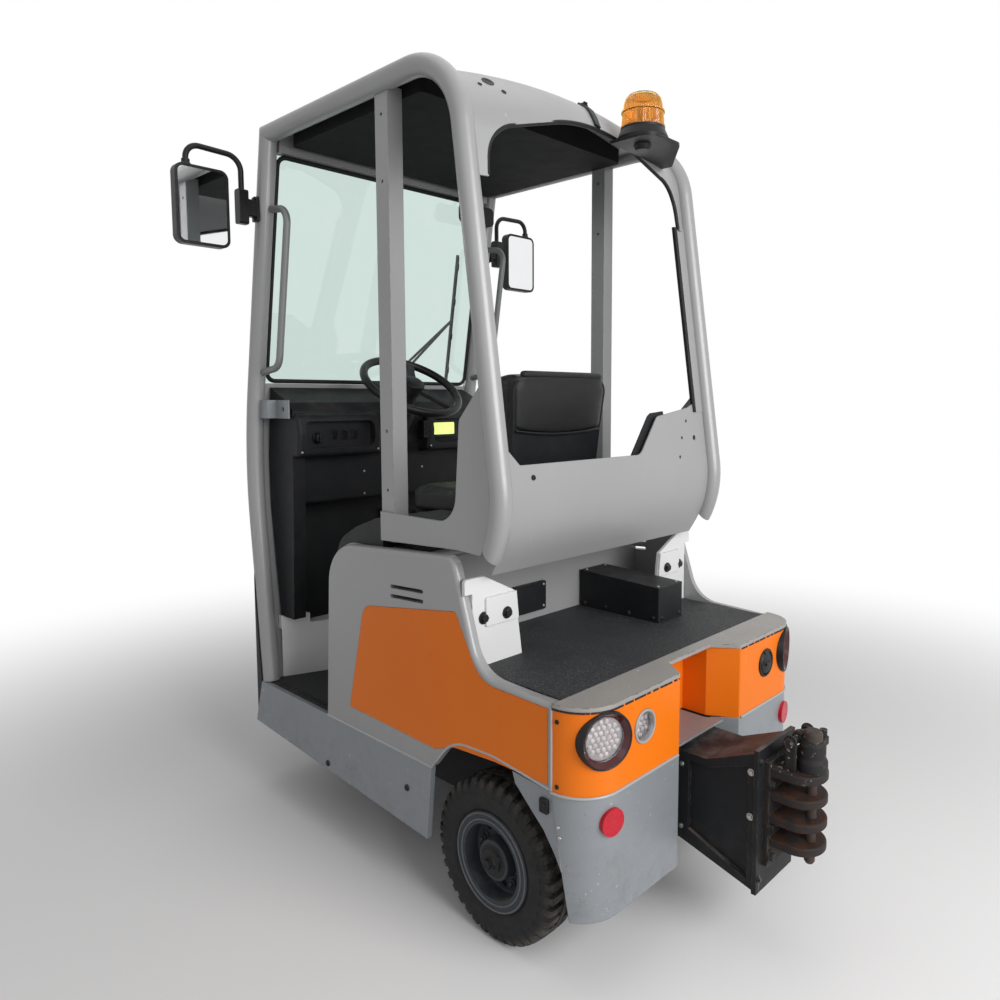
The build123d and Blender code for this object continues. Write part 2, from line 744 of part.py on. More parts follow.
def deck():
    """Load deck plate with its raised rear strip, and the mat cut round what stands on it."""
    inner = PANEL_IN_Y - SEAM_GAP
    corners = [
        (BULKHEAD_X, inner, 0),
        (CORNER_X - SEAM_GAP, inner, 0),
        (CORNER_X - SEAM_GAP, BODY_HALF_W, 0),
        (REAR_X, BODY_HALF_W, CORNER_R - 1),
        (REAR_X, NOTCH_HALF_W, 6),
        (NOTCH_X - 12, NOTCH_FLOOR_HALF_W - 2, 0),
    ]
    corners += [(x, -y, r) for x, y, r in reversed(corners)]
    plate = prism_z(corners, DECK_Z, MAT_Z)
    strip = prism_z(corners, MAT_Z, MAT_TOP_Z) - block(
        CORNER_X - 3, BULKHEAD_X + 1, -BODY_HALF_W, BODY_HALF_W, MAT_Z, MAT_TOP_Z
    )
    save("deck_plate", plate + strip)
    half_w = inner - MAT_EDGE
    gap = SEAM_GAP
    right_y, left_y = CONTROL_Y
    mat = block(CORNER_X - 2, BULKHEAD_X, -half_w, half_w, MAT_Z, MAT_TOP_Z)
    mat -= block(
        CONTROL_REAR_X - gap, BULKHEAD_X, right_y - gap, left_y + gap, MAT_Z, MAT_TOP_Z
    )
    foot = block(
        FOOT_X - gap, FOOT_X + FOOT_T + gap, FOOT_CORNERS[0][0] - gap, BODY_HALF_W, MAT_Z, MAT_TOP_Z
    )
    for side in pair(foot):
        mat -= side
    save("deck_mat", mat)


def seat_box_corners():
    """Corners of the seat box's middle line: bulkhead, top and the riser at the heels."""
    half_t = SHEET_T / 2
    return [
        (BULKHEAD_X + half_t, FRAME_TOP_Z),
        (BULKHEAD_X + half_t, SEAT_BOX_Z - half_t),
        (RISER_X - 28, SEAT_BOX_Z - half_t),
        (RISER_X - 2 - half_t, SILL_TOP_Z),
    ]


def seat_box():
    """Bent cover over the battery: bulkhead, top and the riser behind the driver's heels."""
    cover = sheet(side_path(seat_box_corners(), [15, SEAT_BOX_R]), PANEL_IN_Y - SEAM_GAP, SHEET_T)
    low_y = FRAME_IN_Y - SEAM_GAP
    high_y = FRAME_OUT_Y + SEAM_GAP
    for side in pair(block(BULKHEAD_X + 50, RISER_X, low_y, high_y, TRAY_Z, FRAME_TOP_Z + SEAM_GAP)):
        cover -= side
    save("seat_box", cover)


def deck_fittings():
    """Control box on the deck, its top falling to the rear, and the socket plate on the bulkhead."""
    front_x = BULKHEAD_X - 4
    box = prism_y(
        [
            (CONTROL_REAR_X, MAT_Z, 0),
            (CONTROL_REAR_X, CONTROL_TOP_Z - CONTROL_FALL, 0),
            (front_x, CONTROL_TOP_Z, 0),
            (front_x, MAT_Z, 0),
        ],
        *CONTROL_Y,
    )
    box = fillet(box.edges().filter_by(Axis.Z) + box.edges().group_by(Axis.Z)[-1], 5)
    plate = block(BULKHEAD_X - SOCKET_T, BULKHEAD_X, *SOCKET_Y, *SOCKET_Z)
    plate = fillet(plate.edges().filter_by(Axis.X), 6)
    save("deck_fittings", box, plate)


# Towing gear


def tow_box():
    """Welded box behind the frame's rear plate, its sides let in between edge flanges."""
    corners = [
        (FRAME_REAR_X, 245, 0),
        (FRAME_REAR_X, 455, 0),
        (-370, 455, 0),
        (TOW_REAR_X + TOW_PLATE_T, 510, 0),
        (TOW_REAR_X + TOW_PLATE_T, 170, 0),
        (-300, 223, 0),
    ]
    body = prism_y(corners, -TOW_HALF_W, TOW_HALF_W)
    core = Plane.XZ * offset(outline(corners), -TOW_T, kind=Kind.INTERSECTION)
    inner = TOW_HALF_W - TOW_RECESS - TOW_T
    body -= Pos(0, -inner, 0) * extrude(core, amount=2 * inner, dir=(0, 1, 0))
    let_in = [
        (REAR_X + 8, 255, 0),
        (REAR_X + 8, 436, 0),
        (-378, 436, 0),
        (TOW_REAR_X + TOW_PLATE_T + TOW_FLANGE_W, 474, 0),
        (TOW_REAR_X + TOW_PLATE_T + TOW_FLANGE_W, 192, 0),
    ]
    for side in pair(prism_y(let_in, TOW_HALF_W - TOW_RECESS, 2 * TOW_HALF_W)):
        body -= side
    plate_y = TOW_HALF_W + 5
    plate = block(TOW_REAR_X, TOW_REAR_X + TOW_PLATE_T, -plate_y, plate_y, *TOW_PLATE_Z)
    save("tow_box", body + plate)


def coupler():
    """Stacked jaws on a ribbed flange, the cast head with its lever, and the lifting pin."""
    flange_x = TOW_REAR_X - FLANGE_T
    body = block(
        flange_x, TOW_REAR_X, -FLANGE_HALF_W, FLANGE_HALF_W, JAW_LOW_Z - 60, JAW_TOP_Z + 25
    )
    jaw = prism_z(
        [
            (flange_x + 1, -JAW_HALF_W, 0),
            (flange_x + 1, JAW_HALF_W, 0),
            (COUPLER_REAR_X, JAW_HALF_W, JAW_HALF_W - 1),
            (COUPLER_REAR_X, -JAW_HALF_W, JAW_HALF_W - 1),
        ],
        -JAW_T / 2,
        JAW_T / 2,
    )
    lips = jaw.edges().filter_by(lambda e: e.center().X < flange_x)
    jaw = fillet(lips.filter_by(Axis.Z, reverse=True), 5)
    for row in range(JAW_COUNT):
        body += Pos(0, 0, JAW_LOW_Z + row * JAW_PITCH) * jaw
    web_half_w = 18
    web = prism_y(
        [
            (flange_x + 1, JAW_TOP_Z, 0),
            (flange_x + 1, JAW_TOP_Z + 25, 0),
            (PIN_X + HEAD_R, HEAD_TOP_Z - 20, 0),
            (PIN_X, HEAD_TOP_Z - 20, 0),
            (PIN_X, JAW_TOP_Z, 0),
        ],
        -web_half_w,
        web_half_w,
    )
    collar_z = JAW_TOP_Z + JAW_T / 2 + 24
    head = spun(
        [
            (0, JAW_TOP_Z, 0),
            (PIN_X - COUPLER_REAR_X, JAW_TOP_Z, 0),
            (PIN_X - COUPLER_REAR_X, collar_z, 3),
            (HEAD_R, collar_z + 10, 6),
            (HEAD_R, HEAD_TOP_Z - 8, 0),
            (HEAD_R - 6, HEAD_TOP_Z, 0),
            (0, HEAD_TOP_Z, 0),
        ]
    )
    lever_z = HEAD_TOP_Z - 26
    lever_end = JAW_HALF_W + 8
    lever = prism_z(
        [
            (-14, 0, 0),
            (-12, -lever_end, 10),
            (12, -lever_end, 10),
            (16, 0, 0),
        ],
        lever_z,
        lever_z + 16,
    )
    lever += rod((0, 12 - lever_end, lever_z), (0, 12 - lever_end, lever_z + 34), 9)
    body += web
    body += Pos(PIN_X, 0, 0) * (head + lever)
    body -= rod((PIN_X, 0, 0), (PIN_X, 0, 2 * HEAD_TOP_Z), PIN_R + FIT_GAP)
    save("coupler_body", body)
    knob_z = HEAD_TOP_Z + FIT_GAP
    pin = spun(
        [
            (0, PIN_LOW_Z, 0),
            (PIN_R - 4, PIN_LOW_Z, 0),
            (PIN_R, PIN_LOW_Z + 6, 0),
            (PIN_R, knob_z, 0),
            (KNOB_R, knob_z, 0),
            (KNOB_R, knob_z + KNOB_H, 8),
            (0, knob_z + KNOB_H, 0),
        ]
    )
    save("coupling_pin", Pos(PIN_X, 0, 0) * pin)


# Nose


def nose():
    """Moulded nose cover, hollow over the front wheel, and its two headlamps."""
    rear = SKIN_T / 2 + FIT_GAP
    low_z = SILL_TOP_Z
    top_z = 902
    profile = [
        (shin_x(low_z) + rear + 10, low_z, 0),
        (shin_x(top_z) + rear, top_z, 0),
        (NOSE_FRONT_X - 35, top_z, 20),
        (NOSE_FRONT_X, 850, 60),
        (NOSE_FRONT_X, 600, 300),
        (NOSE_FRONT_X - 20, BUMPER_Z, 20),
        (NOSE_FRONT_X - 72 + SEAM_GAP, BUMPER_Z, 0),
    ]
    cover = prism_y(profile, -BODY_HALF_W, BODY_HALF_W)
    bend_x = NOSE_FRONT_X - 47
    bend_y = BODY_HALF_W - 40
    side_x = NOSE_FRONT_X - 85
    rear_x = NOSE_FRONT_X - 315
    side = [(bend_x, bend_y), (side_x, BODY_HALF_W), (rear_x, BODY_HALF_W)]
    bulge = ThreePointArc((bend_x, -bend_y), (NOSE_FRONT_X, 0), (bend_x, bend_y))
    plan = make_face(Curve() + bulge + Polyline(*side, *[(x, -y) for x, y in reversed(side)]))
    cover &= extrude(plan, amount=top_z, dir=(0, 0, 1))
    clear = FRAME_OUT_Y + SEAM_GAP
    cover -= block(rear_x, FRAME_FRONT_X + SEAM_GAP, -clear, clear, 0, PLATFORM_TOP_Z + 1)
    for shell in pair(Pos(0, TUBE_Y, 0) * bar(pillar_path(), TUBE_R + SEAM_GAP)):
        cover -= shell
    spot = (HEADLAMP_X, BODY_HALF_W - HEADLAMP_INSET, HEADLAMP_Z)
    seat = Plane(origin=spot, x_dir=(0, 1, 0), z_dir=(1, 0, 0))
    proud = 6 * HEADLAMP_PROUD
    floor = HEADLAMP_PROUD + 6 - HEADLAMP_DEPTH
    for side in pair(disc(seat, HEADLAMP_RING_R + SEAM_GAP, -HEADLAMP_DEPTH, proud)):
        cover -= side
    bowl = disc(seat, HEADLAMP_RING_R, -HEADLAMP_DEPTH, HEADLAMP_PROUD)
    bowl -= disc(seat, HEADLAMP_LENS_R, floor, proud)
    lens = disc(seat, HEADLAMP_LENS_R - FIT_GAP, floor, HEADLAMP_PROUD - 6)
    save("nose_cover", cover)
    return pair(bowl), pair(lens)


# Cab


def tube_path():
    """Centre line of a cab side tube, from its foot over the roof to the windscreen."""
    over = (PILLAR_TOP[0] + 3 * TUBE_R, RAIL_Z)
    low_z = TUBE_FOOT[1] - 3 * TUBE_R
    low = (foot_x(low_z), low_z)
    return side_path([low, TUBE_KNEE, TUBE_CORNER, over], [TUBE_KNEE_R, TUBE_CORNER_R])


def pillar_path():
    """Centre line of a windscreen pillar, from above the mitre to the sill."""
    high_z = RAIL_Z + 3 * TUBE_R
    low = (shin_x(SILL_TOP_Z), SILL_TOP_Z)
    return side_path([(screen_x(high_z), high_z), PILLAR_BEND, low], [PILLAR_BEND_R])


def pillar_room():
    """Space that a windscreen pillar takes up, with the fitting gap round it."""
    return Pos(0, TUBE_Y, 0) * bar(pillar_path(), TUBE_R + FIT_GAP)


# Rows of (y, z, corner radius) round a cab foot, from its inner end on the deck
FOOT_CORNERS = [
    (300.0, MAT_Z, 0),
    (325.0, 850.0, 6),
    (PANEL_IN_Y - 40, 905.0, 10),
    (TUBE_Y + TUBE_R, 905.0, 10),
    (TUBE_Y + TUBE_R, 866.0, 0),
    (PANEL_IN_Y - 1, 866.0, 0),
    (PANEL_IN_Y - 1, MAT_Z, 0),
]


def cab_frame():
    """Side tubes mitred to the windscreen pillars, door posts, quarter sheets and cab feet."""
    down = Vector(slope(PILLAR_TOP, PILLAR_BEND), 0, 1).normalized() * -1
    mitre = Plane(origin=(PILLAR_TOP[0], 0, RAIL_Z), z_dir=Vector(1, 0, 0) + down)
    tube = split(bar(tube_path(), TUBE_R), bisect_by=mitre, keep=Keep.BOTTOM)
    reach = 8 * TUBE_R
    foot_end_z = TUBE_FOOT[1] + 3 * TUBE_R
    tube -= block(FOOT_X, FOOT_X + reach, -reach, reach, TUBE_END_Z - reach, foot_end_z)
    tube -= block(FOOT_X - reach, FOOT_X + reach, -reach, reach, TUBE_END_Z - reach, TUBE_END_Z)
    pillar = split(bar(pillar_path(), TUBE_R), bisect_by=mitre, keep=Keep.TOP)
    level = Plane(origin=(0, 0, SILL_TOP_Z), z_dir=(0, 0, 1))
    pillar = split(pillar, bisect_by=level, keep=Keep.TOP)
    save("cab_tubes", *pair(Pos(0, TUBE_Y, 0) * tube))
    save("a_pillars", *pair(Pos(0, TUBE_Y, 0) * pillar))

    room = Pos(0, TUBE_Y, 0) * bar(tube_path(), TUBE_R + FIT_GAP)
    post = block(*POST_X, POST_IN_Y, QUARTER_Y, POST_LOW_Z, RAIL_Z - TUBE_R / 2) - room
    post = post.solids().sort_by(Axis.Z)[0]
    middle_x = sum(POST_X) / 2
    for z in HINGE_HOLES:
        post -= rod((middle_x, 0, z), (middle_x, BODY_HALF_W, z), HINGE_HOLE_R)
    save("door_posts", *pair(post))
    quarter = prism_y(
        [
            (POST_X[1], POST_LOW_Z, 0),
            (POST_X[1], POST_LOW_Z + 80, 0),
            (120, POST_LOW_Z + 80, 70),
            (100, 1290, 15),
            (back_x(1400), 1400, 0),
            (back_x(1250), 1250, 0),
            (foot_x(TUBE_KNEE[1]), TUBE_KNEE[1], 0),
            (foot_x(965), 965, 0),
            (110, 970, 20),
        ],
        QUARTER_Y,
        QUARTER_Y + SHEET_T,
    )
    save("quarter_sheets", *pair(largest(quarter - room)))
    foot = prism_x(FOOT_CORNERS, FOOT_X, FOOT_X + FOOT_T)
    lap_in = FOOT_CORNERS[1][0]
    lap_out = PANEL_IN_Y - 42
    lap = prism_x(
        [(lap_in - 8, FOOT_LAP_Z, 4), (lap_in, 850, 4), (lap_out, 850, 4), (lap_out, FOOT_LAP_Z, 4)],
        FOOT_X - FOOT_LAP_T,
        FOOT_X + 1,
    )
    save("cab_feet", *pair(foot + (lap - room)))


def rear_panel():
    """Curved sheet between the tubes with a raised ear on the right-hand side."""
    low_z = 914
    high_z = 1400
    path = side_path([(foot_x(low_z), low_z), TUBE_KNEE, (back_x(high_z), high_z)], [TUBE_KNEE_R])
    skin = sheet(path, SKIN_HALF_W, SKIN_T)
    edge = SKIN_HALF_W + 1
    window_z = 1183
    window = prism_x(
        [
            (edge, window_z + 42, 0),
            (edge - 3, window_z + 42, 0),
            (edge - 43, window_z, 10),
            (-90, window_z, 40),
            (-190, 1290, 30),
            (-edge + 84, 1314, 40),
            (-edge, 1345, 0),
            (-edge, 2 * high_z, 0),
            (edge, 2 * high_z, 0),
        ],
        -TUBE_CORNER_R,
        TUBE_CORNER_R,
    )
    skin -= window
    for y, z, r in EAR_HOLES:
        skin -= rod((-TUBE_CORNER_R, y, z), (TUBE_CORNER_R, y, z), r)
    save("rear_panel", skin)


# Fixing holes in the rear panel's ear: y, z, radius
EAR_HOLES = [
    (-343.0, 1274.0, 5.0),
    (-311.0, 1223.0, 5.0),
    (-380.0, 1221.0, 8.0),
    (-291.0, 1166.0, 5.0),
]


def roof_shell(low, high):
    """Crowned sheet over the roof and down the rear, between two offsets from its middle."""
    path = side_path(
        [(back_x(ROOF_EDGE_Z), ROOF_EDGE_Z), TUBE_CORNER, (ROOF_FRONT_X, RAIL_Z)], [TUBE_CORNER_R]
    )
    section = Plane(origin=path @ 0, x_dir=(0, 1, 0), z_dir=path % 0)
    return sweep(section * crowned(SKIN_HALF_W, ROOF_CROWN, low, high), path=path)


def roof():
    """Roof skin that turns down into the arched rear fascia, and the headliner below it."""
    skin = roof_shell(-SKIN_T / 2, SKIN_T / 2)
    arch_y = SKIN_HALF_W - 32
    shoulder = (arch_y - 12, RAIL_Z - 172, 110)
    left = [(arch_y, ROOF_EDGE_Z - 70, 0), (arch_y, ROOF_EDGE_Z + 8, 0), shoulder]
    right = [(-y, z, r) for y, z, r in reversed(left)]
    window = prism_x(left + [(0, RAIL_Z - 56, 600)] + right, -TUBE_CORNER_R, TUBE_CORNER_R)
    save("roof_skin", largest(skin - window))
    half_w = POST_IN_Y - 5
    gap = SKIN_T / 2 + FIT_GAP
    edge_z = RAIL_Z + roof_rise(half_w) - gap
    top = ThreePointArc((-half_w, edge_z), (0, RAIL_Z + ROOF_CROWN - gap), (half_w, edge_z))
    rest = Polyline(
        (half_w, edge_z), (half_w, LINER_LOW_Z), (-half_w, LINER_LOW_Z), (-half_w, edge_z)
    )
    face = Plane.YZ * make_face(Curve() + top + rest)
    liner = Pos(LINER_X[0], 0, 0) * extrude(face, amount=LINER_X[1] - LINER_X[0], dir=(1, 0, 0))
    save("headliner", fillet(liner.edges().filter_by(Axis.Z), 20))


def front():
    """Windscreen in its header, and the sheet that closes the cab's front."""
    low_z, high_z = GLASS_Z
    half_t = GLASS_HALF_T
    glass = prism_y(
        [
            (screen_x(low_z) - half_t, low_z, 0),
            (screen_x(low_z) + half_t, low_z, 0),
            (screen_x(high_z) + half_t, high_z, 0),
            (screen_x(high_z) - half_t, high_z, 0),
        ],
        -SKIN_HALF_W,
        SKIN_HALF_W,
    )
    save("windscreen", glass)
    peak_z = RAIL_Z + ROOF_CROWN + SKIN_T
    header = prism_y(
        [
            (screen_x(high_z) - 22, high_z, 0),
            (screen_x(high_z) + 14, high_z, 0),
            (screen_x(peak_z) + 14, peak_z, 0),
            (ROOF_FRONT_X + FIT_GAP, peak_z, 0),
            (ROOF_FRONT_X + FIT_GAP, high_z + 20, 0),
        ],
        -SKIN_HALF_W,
        SKIN_HALF_W,
    )
    cap = Plane.YZ * crowned(SKIN_HALF_W, ROOF_CROWN, high_z - RAIL_Z - ROOF_CROWN, SKIN_T)
    header &= Pos(0, 0, RAIL_Z) * extrude(cap, amount=2 * PILLAR_TOP[0], dir=(1, 0, 0))
    path = side_path(
        [
            (screen_x(low_z - 2), low_z - 2),
            PILLAR_BEND,
            (shin_x(SILL_TOP_Z + 1), SILL_TOP_Z + 1),
        ],
        [PILLAR_BEND_R],
    )
    skin = sheet(path, SKIN_HALF_W, SKIN_T)
    gap_y = FRAME_OUT_Y + SHEET_T + SEAM_GAP
    skin -= block(RISER_X, 2 * NOSE_FRONT_X, -gap_y, gap_y, 0, PLATFORM_TOP_Z)
    save("front_panel", skin, header)


def wiper():
    """Parallel-arm wiper before the glass."""
    near = GLASS_HALF_T + FIT_GAP
    far = near + 31
    foot_half_h = 30
    low_z = WIPER_FOOT_Z - foot_half_h
    high_z = WIPER_FOOT_Z + foot_half_h
    arms = prism_y(
        [
            (screen_x(low_z) + near, low_z, 0),
            (screen_x(low_z) + far, low_z, 8),
            (screen_x(high_z) + far, high_z, 8),
            (screen_x(high_z) + near, high_z, 0),
        ],
        *WIPER_MOTOR_Y,
    )
    joint = (screen_x(WIPER_JOINT_Z) + WIPER_OFF, WIPER_Y, WIPER_JOINT_Z)
    for y in (WIPER_MOTOR_Y[0] + 20, WIPER_MOTOR_Y[1] - 20):
        arms += rod((screen_x(WIPER_FOOT_Z) + WIPER_OFF, y, WIPER_FOOT_Z), joint, 5)
    low, high = [(screen_x(z) + WIPER_OFF, WIPER_Y, z) for z in WIPER_Z]
    arms += rod(high, low, 6)
    save("wiper", arms)


# Driver's place


def steer_plane():
    """Plane of the steering wheel, its normal along the column and pointing up."""
    tilt = radians(STEER_TILT)
    x, z = STEER_CENTRE
    across = (cos(tilt), 0, sin(tilt))
    return Plane(origin=(x, 0, z), x_dir=across, z_dir=(-sin(tilt), 0, cos(tilt)))


def dash():
    """Dashboard with a tray pod to each side, knee panel, footwell liner, legs and column."""
    wheel = steer_plane()
    behind = SKIN_T / 2 + 6
    half_w = POST_IN_Y
    x = DASH_X
    pod_low, pod_high = POD_Z
    profile = [
        (screen_x(DASH_TOP_Z) - behind, DASH_TOP_Z, 0),
        (x + 18, 1330, 20),
        (x - 6, 1300, 20),
        (x + 2, 1180, 25),
        (x + 35, 1140, 20),
        (x + 35, KNEE_LOW_Z, 12),
        (shin_x(KNEE_LOW_Z) - behind, KNEE_LOW_Z, 0),
        (PILLAR_BEND[0] - 3 * behind, PILLAR_BEND[1], 0),
    ]
    body = prism_y(profile, -half_w, half_w)
    pod = prism_y(
        [
            (x + 60, pod_high + 22, 0),
            (x - 30, pod_high, 25),
            (x - 42, pod_high - 60, 60),
            (x - 36, pod_low + 8, 14),
            (x + 60, pod_low - 6, 0),
        ],
        POD_IN_Y,
        half_w,
    )
    pod = fillet(pod.edges().filter_by(Axis.Y, reverse=True).sort_by(Axis.X)[:6], 12)
    tray_z = (pod_low + 34, pod_high - 22)
    tray = block(x - 60, x - 8, POD_IN_Y + 26, half_w - 26, *tray_z)
    pod -= fillet(tray.edges().filter_by(Axis.X), 22)
    leg_z = PLATFORM_TOP_Z + 33
    leg = prism_y(
        [
            (x + 2, pod_low + 20, 0),
            (x + 8, KNEE_LOW_Z - 60, 300),
            (x + 24, leg_z, 0),
            (shin_x(leg_z) - 2 * behind, leg_z, 0),
            (shin_x(KNEE_LOW_Z) - behind, KNEE_LOW_Z, 0),
            (shin_x(KNEE_LOW_Z) - behind, pod_low + 20, 0),
        ],
        half_w - 44,
        half_w,
    )
    low_z = PLATFORM_TOP_Z
    liner = prism_y(
        [
            (shin_x(low_z) - behind - SHEET_T, low_z, 0),
            (shin_x(low_z) - behind, low_z, 0),
            (shin_x(KNEE_LOW_Z) - behind, KNEE_LOW_Z, 0),
            (shin_x(KNEE_LOW_Z) - behind - SHEET_T, KNEE_LOW_Z, 0),
        ],
        -half_w + 90,
        half_w - 90,
    )
    body += liner
    for piece in (pod, leg):
        for side in pair(piece):
            body += side
    save("dash", body)
    foot = disc(wheel, COLUMN_R + 14, -COLUMN_L - 60, -COLUMN_L + 24)
    column = foot + disc(wheel, COLUMN_R, -COLUMN_L, -22)
    column += disc(wheel, STEER_SHAFT_R, -30, 10)
    save("steering_column", largest(column - body))
    screen = block(x - 37, x + 15, -245, -POD_IN_Y + 20, 1200, 1262)
    save("display", largest(screen - body))


def steering_wheel():
    """Steering wheel with three spokes and a hub that turns on the column."""
    ring = Torus(STEER_RIM_R, STEER_GRIP_R) + Cylinder(STEER_HUB_R, 36)
    for angle in (90, 210, 330):
        spoke = Pos((STEER_RIM_R + 30) / 2, 0, 0) * Box(STEER_RIM_R - 34, 30, 12)
        ring += Rot(0, 0, angle) * spoke
    ring -= Pos(0, 0, -10) * Cylinder(STEER_SHAFT_R + FIT_GAP, STEER_HUB_R)
    save("steering_wheel", steer_plane() * ring)


def seat():
    """Suspension seat: base and tapered shell, cushion and back pad."""
    base = block(*SEAT_BASE_X, -190, 190, SEAT_BOX_Z, SEAT_BASE_Z)
    base = fillet(base.edges().filter_by(Axis.Z), 30)
    low_z = SEAT_BASE_Z - 9
    shell = prism_y(
        [
            (SHELL_LOW[0] - SHELL_T, low_z, 0),
            (SEAT_BASE_X[0], low_z, 0),
            (SEAT_BASE_X[0], SEAT_BASE_Z, 0),
            (*SHELL_LOW, 0),
            (*SHELL_HIGH, 0),
            (SHELL_HIGH[0] - SHELL_T, SHELL_HIGH[1], 0),
        ],
        -BODY_HALF_W,
        BODY_HALF_W,
    )
    top_z = SHELL_HIGH[1]
    half = [(178, low_z - 1, 0), (192, 1250, 400), (206, top_z + 1, 40)]
    taper = prism_x(half + [(-y, z, r) for y, z, r in reversed(half)], 0, SEAT_BASE_X[1])
    save("seat_frame", base + (shell & taper))
    cushion = block(270, 650, -235, 235, SEAT_BASE_Z + FIT_GAP, 1075)
    save("seat_cushion", fillet(cushion.edges(), 24))
    lean = slope(SHELL_LOW, SHELL_HIGH)
    low_z, high_z = BACK_Z
    rear = [SHELL_LOW[0] + FIT_GAP + lean * (z - SHELL_LOW[1]) for z in (low_z, top_z)]
    roll_z = top_z + FIT_GAP
    roll_x = rear[1] - SHELL_T - 6
    back = prism_y(
        [
            (rear[0], low_z, 8),
            (330, low_z, 25),
            (282, high_z, 22),
            (roll_x, high_z, 20),
            (roll_x, roll_z, 0),
            (rear[1], roll_z, 0),
        ],
        -BODY_HALF_W,
        BODY_HALF_W,
    )
    half = [(196, low_z - 1, 0), (204, 1250, 400), (216, high_z + 1, 45)]
    taper = prism_x(half + [(-y, z, r) for y, z, r in reversed(half)], 0, SEAT_BASE_X[1])
    save("seat_back", back & taper)


def side_covers():
    """Moulded humps beside the seat that follow the seat box down to the riser."""
    rows = [
        (RISER_X - 4, 845, 0),
        (RISER_X - 52, 935, 90),
        (RISER_X - 132, 977, 120),
        (POST_X[1] + 25, 1014, 60),
        (300, 1014, 20),
        (300, SEAT_BOX_Z, 0),
    ]
    corners = seat_box_corners()
    radii = [0, 15, SEAT_BOX_R, 0]
    under = outline([(x, z, r) for (x, z), r in zip(corners, radii)])
    under = offset(under, SHEET_T / 2 + FIT_GAP, kind=Kind.INTERSECTION)
    room = Plane.XZ * under
    room = Pos(0, -BODY_HALF_W, 0) * extrude(room, amount=2 * BODY_HALF_W, dir=(0, 1, 0))
    inner = prism_y(rows, 245, POST_IN_Y - 2)
    outer = prism_y(rows, POST_IN_Y - 3, QUARTER_Y - 2)
    outer -= block(0, POST_X[1] + 3, 0, BODY_HALF_W, 0, RAIL_Z)
    save("side_covers", *pair(largest(inner + outer - room)))


def mirrors():
    """Outside mirrors on bent arms and the inside mirror under the roof."""
    x = screen_x(MIRROR_Z)
    arm_r = 6.5
    arm_y = BODY_HALF_W + 42
    grip_y = BODY_HALF_W + 170
    arm_top = MIRROR_Z + 160
    head_y = (BODY_HALF_W + 92, BODY_HALF_W + 252)
    head_z = (MIRROR_Z - 132, MIRROR_Z + 98)
    glass_in = 8
    arm_path = FilletPolyline(
        (x, TUBE_Y + TUBE_R - 6, MIRROR_Z),
        (x, arm_y, MIRROR_Z),
        (x, arm_y, arm_top),
        (x, grip_y, arm_top),
        (x, grip_y, head_z[1] - 15),
        radius=[18, 26, 26],
    )
    arm = bar(arm_path, arm_r)
    save("mirror_arms", *pair(arm - pillar_room()))
    head = block(x - 15, x + 25, *head_y, *head_z)
    head = fillet(head.edges().filter_by(Axis.X), 25)
    head = fillet(head.edges().group_by(Axis.X)[-1], 12)
    bed = [head_y[0] + glass_in, head_y[1] - glass_in, head_z[0] + glass_in, head_z[1] - glass_in]
    recess = block(x - 16, x - 12, *bed)
    recess = fillet(recess.edges().filter_by(Axis.X), 18)
    pane = [bed[0] + 1, bed[1] - 1, bed[2] + 1, bed[3] - 1]
    glass = block(x - 15, x - 12 - FIT_GAP, *pane)
    glass = fillet(glass.edges().filter_by(Axis.X), 17)
    inside_x = PILLAR_TOP[0] - 54
    inside_y = -POST_IN_Y + 75
    inside = block(
        inside_x - 12, inside_x + 12, inside_y - 80, inside_y + 80, LINER_LOW_Z - 116, LINER_LOW_Z - 46
    )
    inside = fillet(inside.edges().filter_by(Axis.X), 20)
    stem_top = LINER_LOW_Z - FIT_GAP
    inside += rod((inside_x, inside_y, LINER_LOW_Z - 60), (inside_x, inside_y, stem_top), 8)
    save("mirror_heads", *pair(head - recess - bar(arm_path, arm_r + FIT_GAP)), inside)
    save("mirror_glasses", *pair(glass))


def grab_handles():
    """Bent grab handles behind the windscreen pillars, and the pierced plate below each."""
    stand = 130
    high = 1942
    low = 1425
    end_fall = 18
    points = [
        (screen_x(high), high),
        (screen_x(high - end_fall) - stand, high - end_fall),
        (screen_x(low + end_fall) - stand, low + end_fall),
        (screen_x(low), low),
    ]
    handle = Pos(0, TUBE_Y - 8, 0) * bar(side_path(points, [45, 45]), 11)
    save("grab_handles", *pair(largest(handle - pillar_room())))
    plate = block(*BRACKET_X, BRACKET_Y, BRACKET_Y + 6, *BRACKET_Z)
    ear_x = BRACKET_X[1] - 40
    plate += block(ear_x, BRACKET_X[1] + 24, BRACKET_Y, TUBE_Y, *BRACKET_Z)
    hole_x = BRACKET_X[0] + 34
    hole_z = sum(BRACKET_Z) / 2
    plate -= rod((hole_x, 0, hole_z), (hole_x, BODY_HALF_W, hole_z), BRACKET_HOLE_R)
    plate -= pillar_room()
    save("pillar_brackets", *pair(largest(plate)))


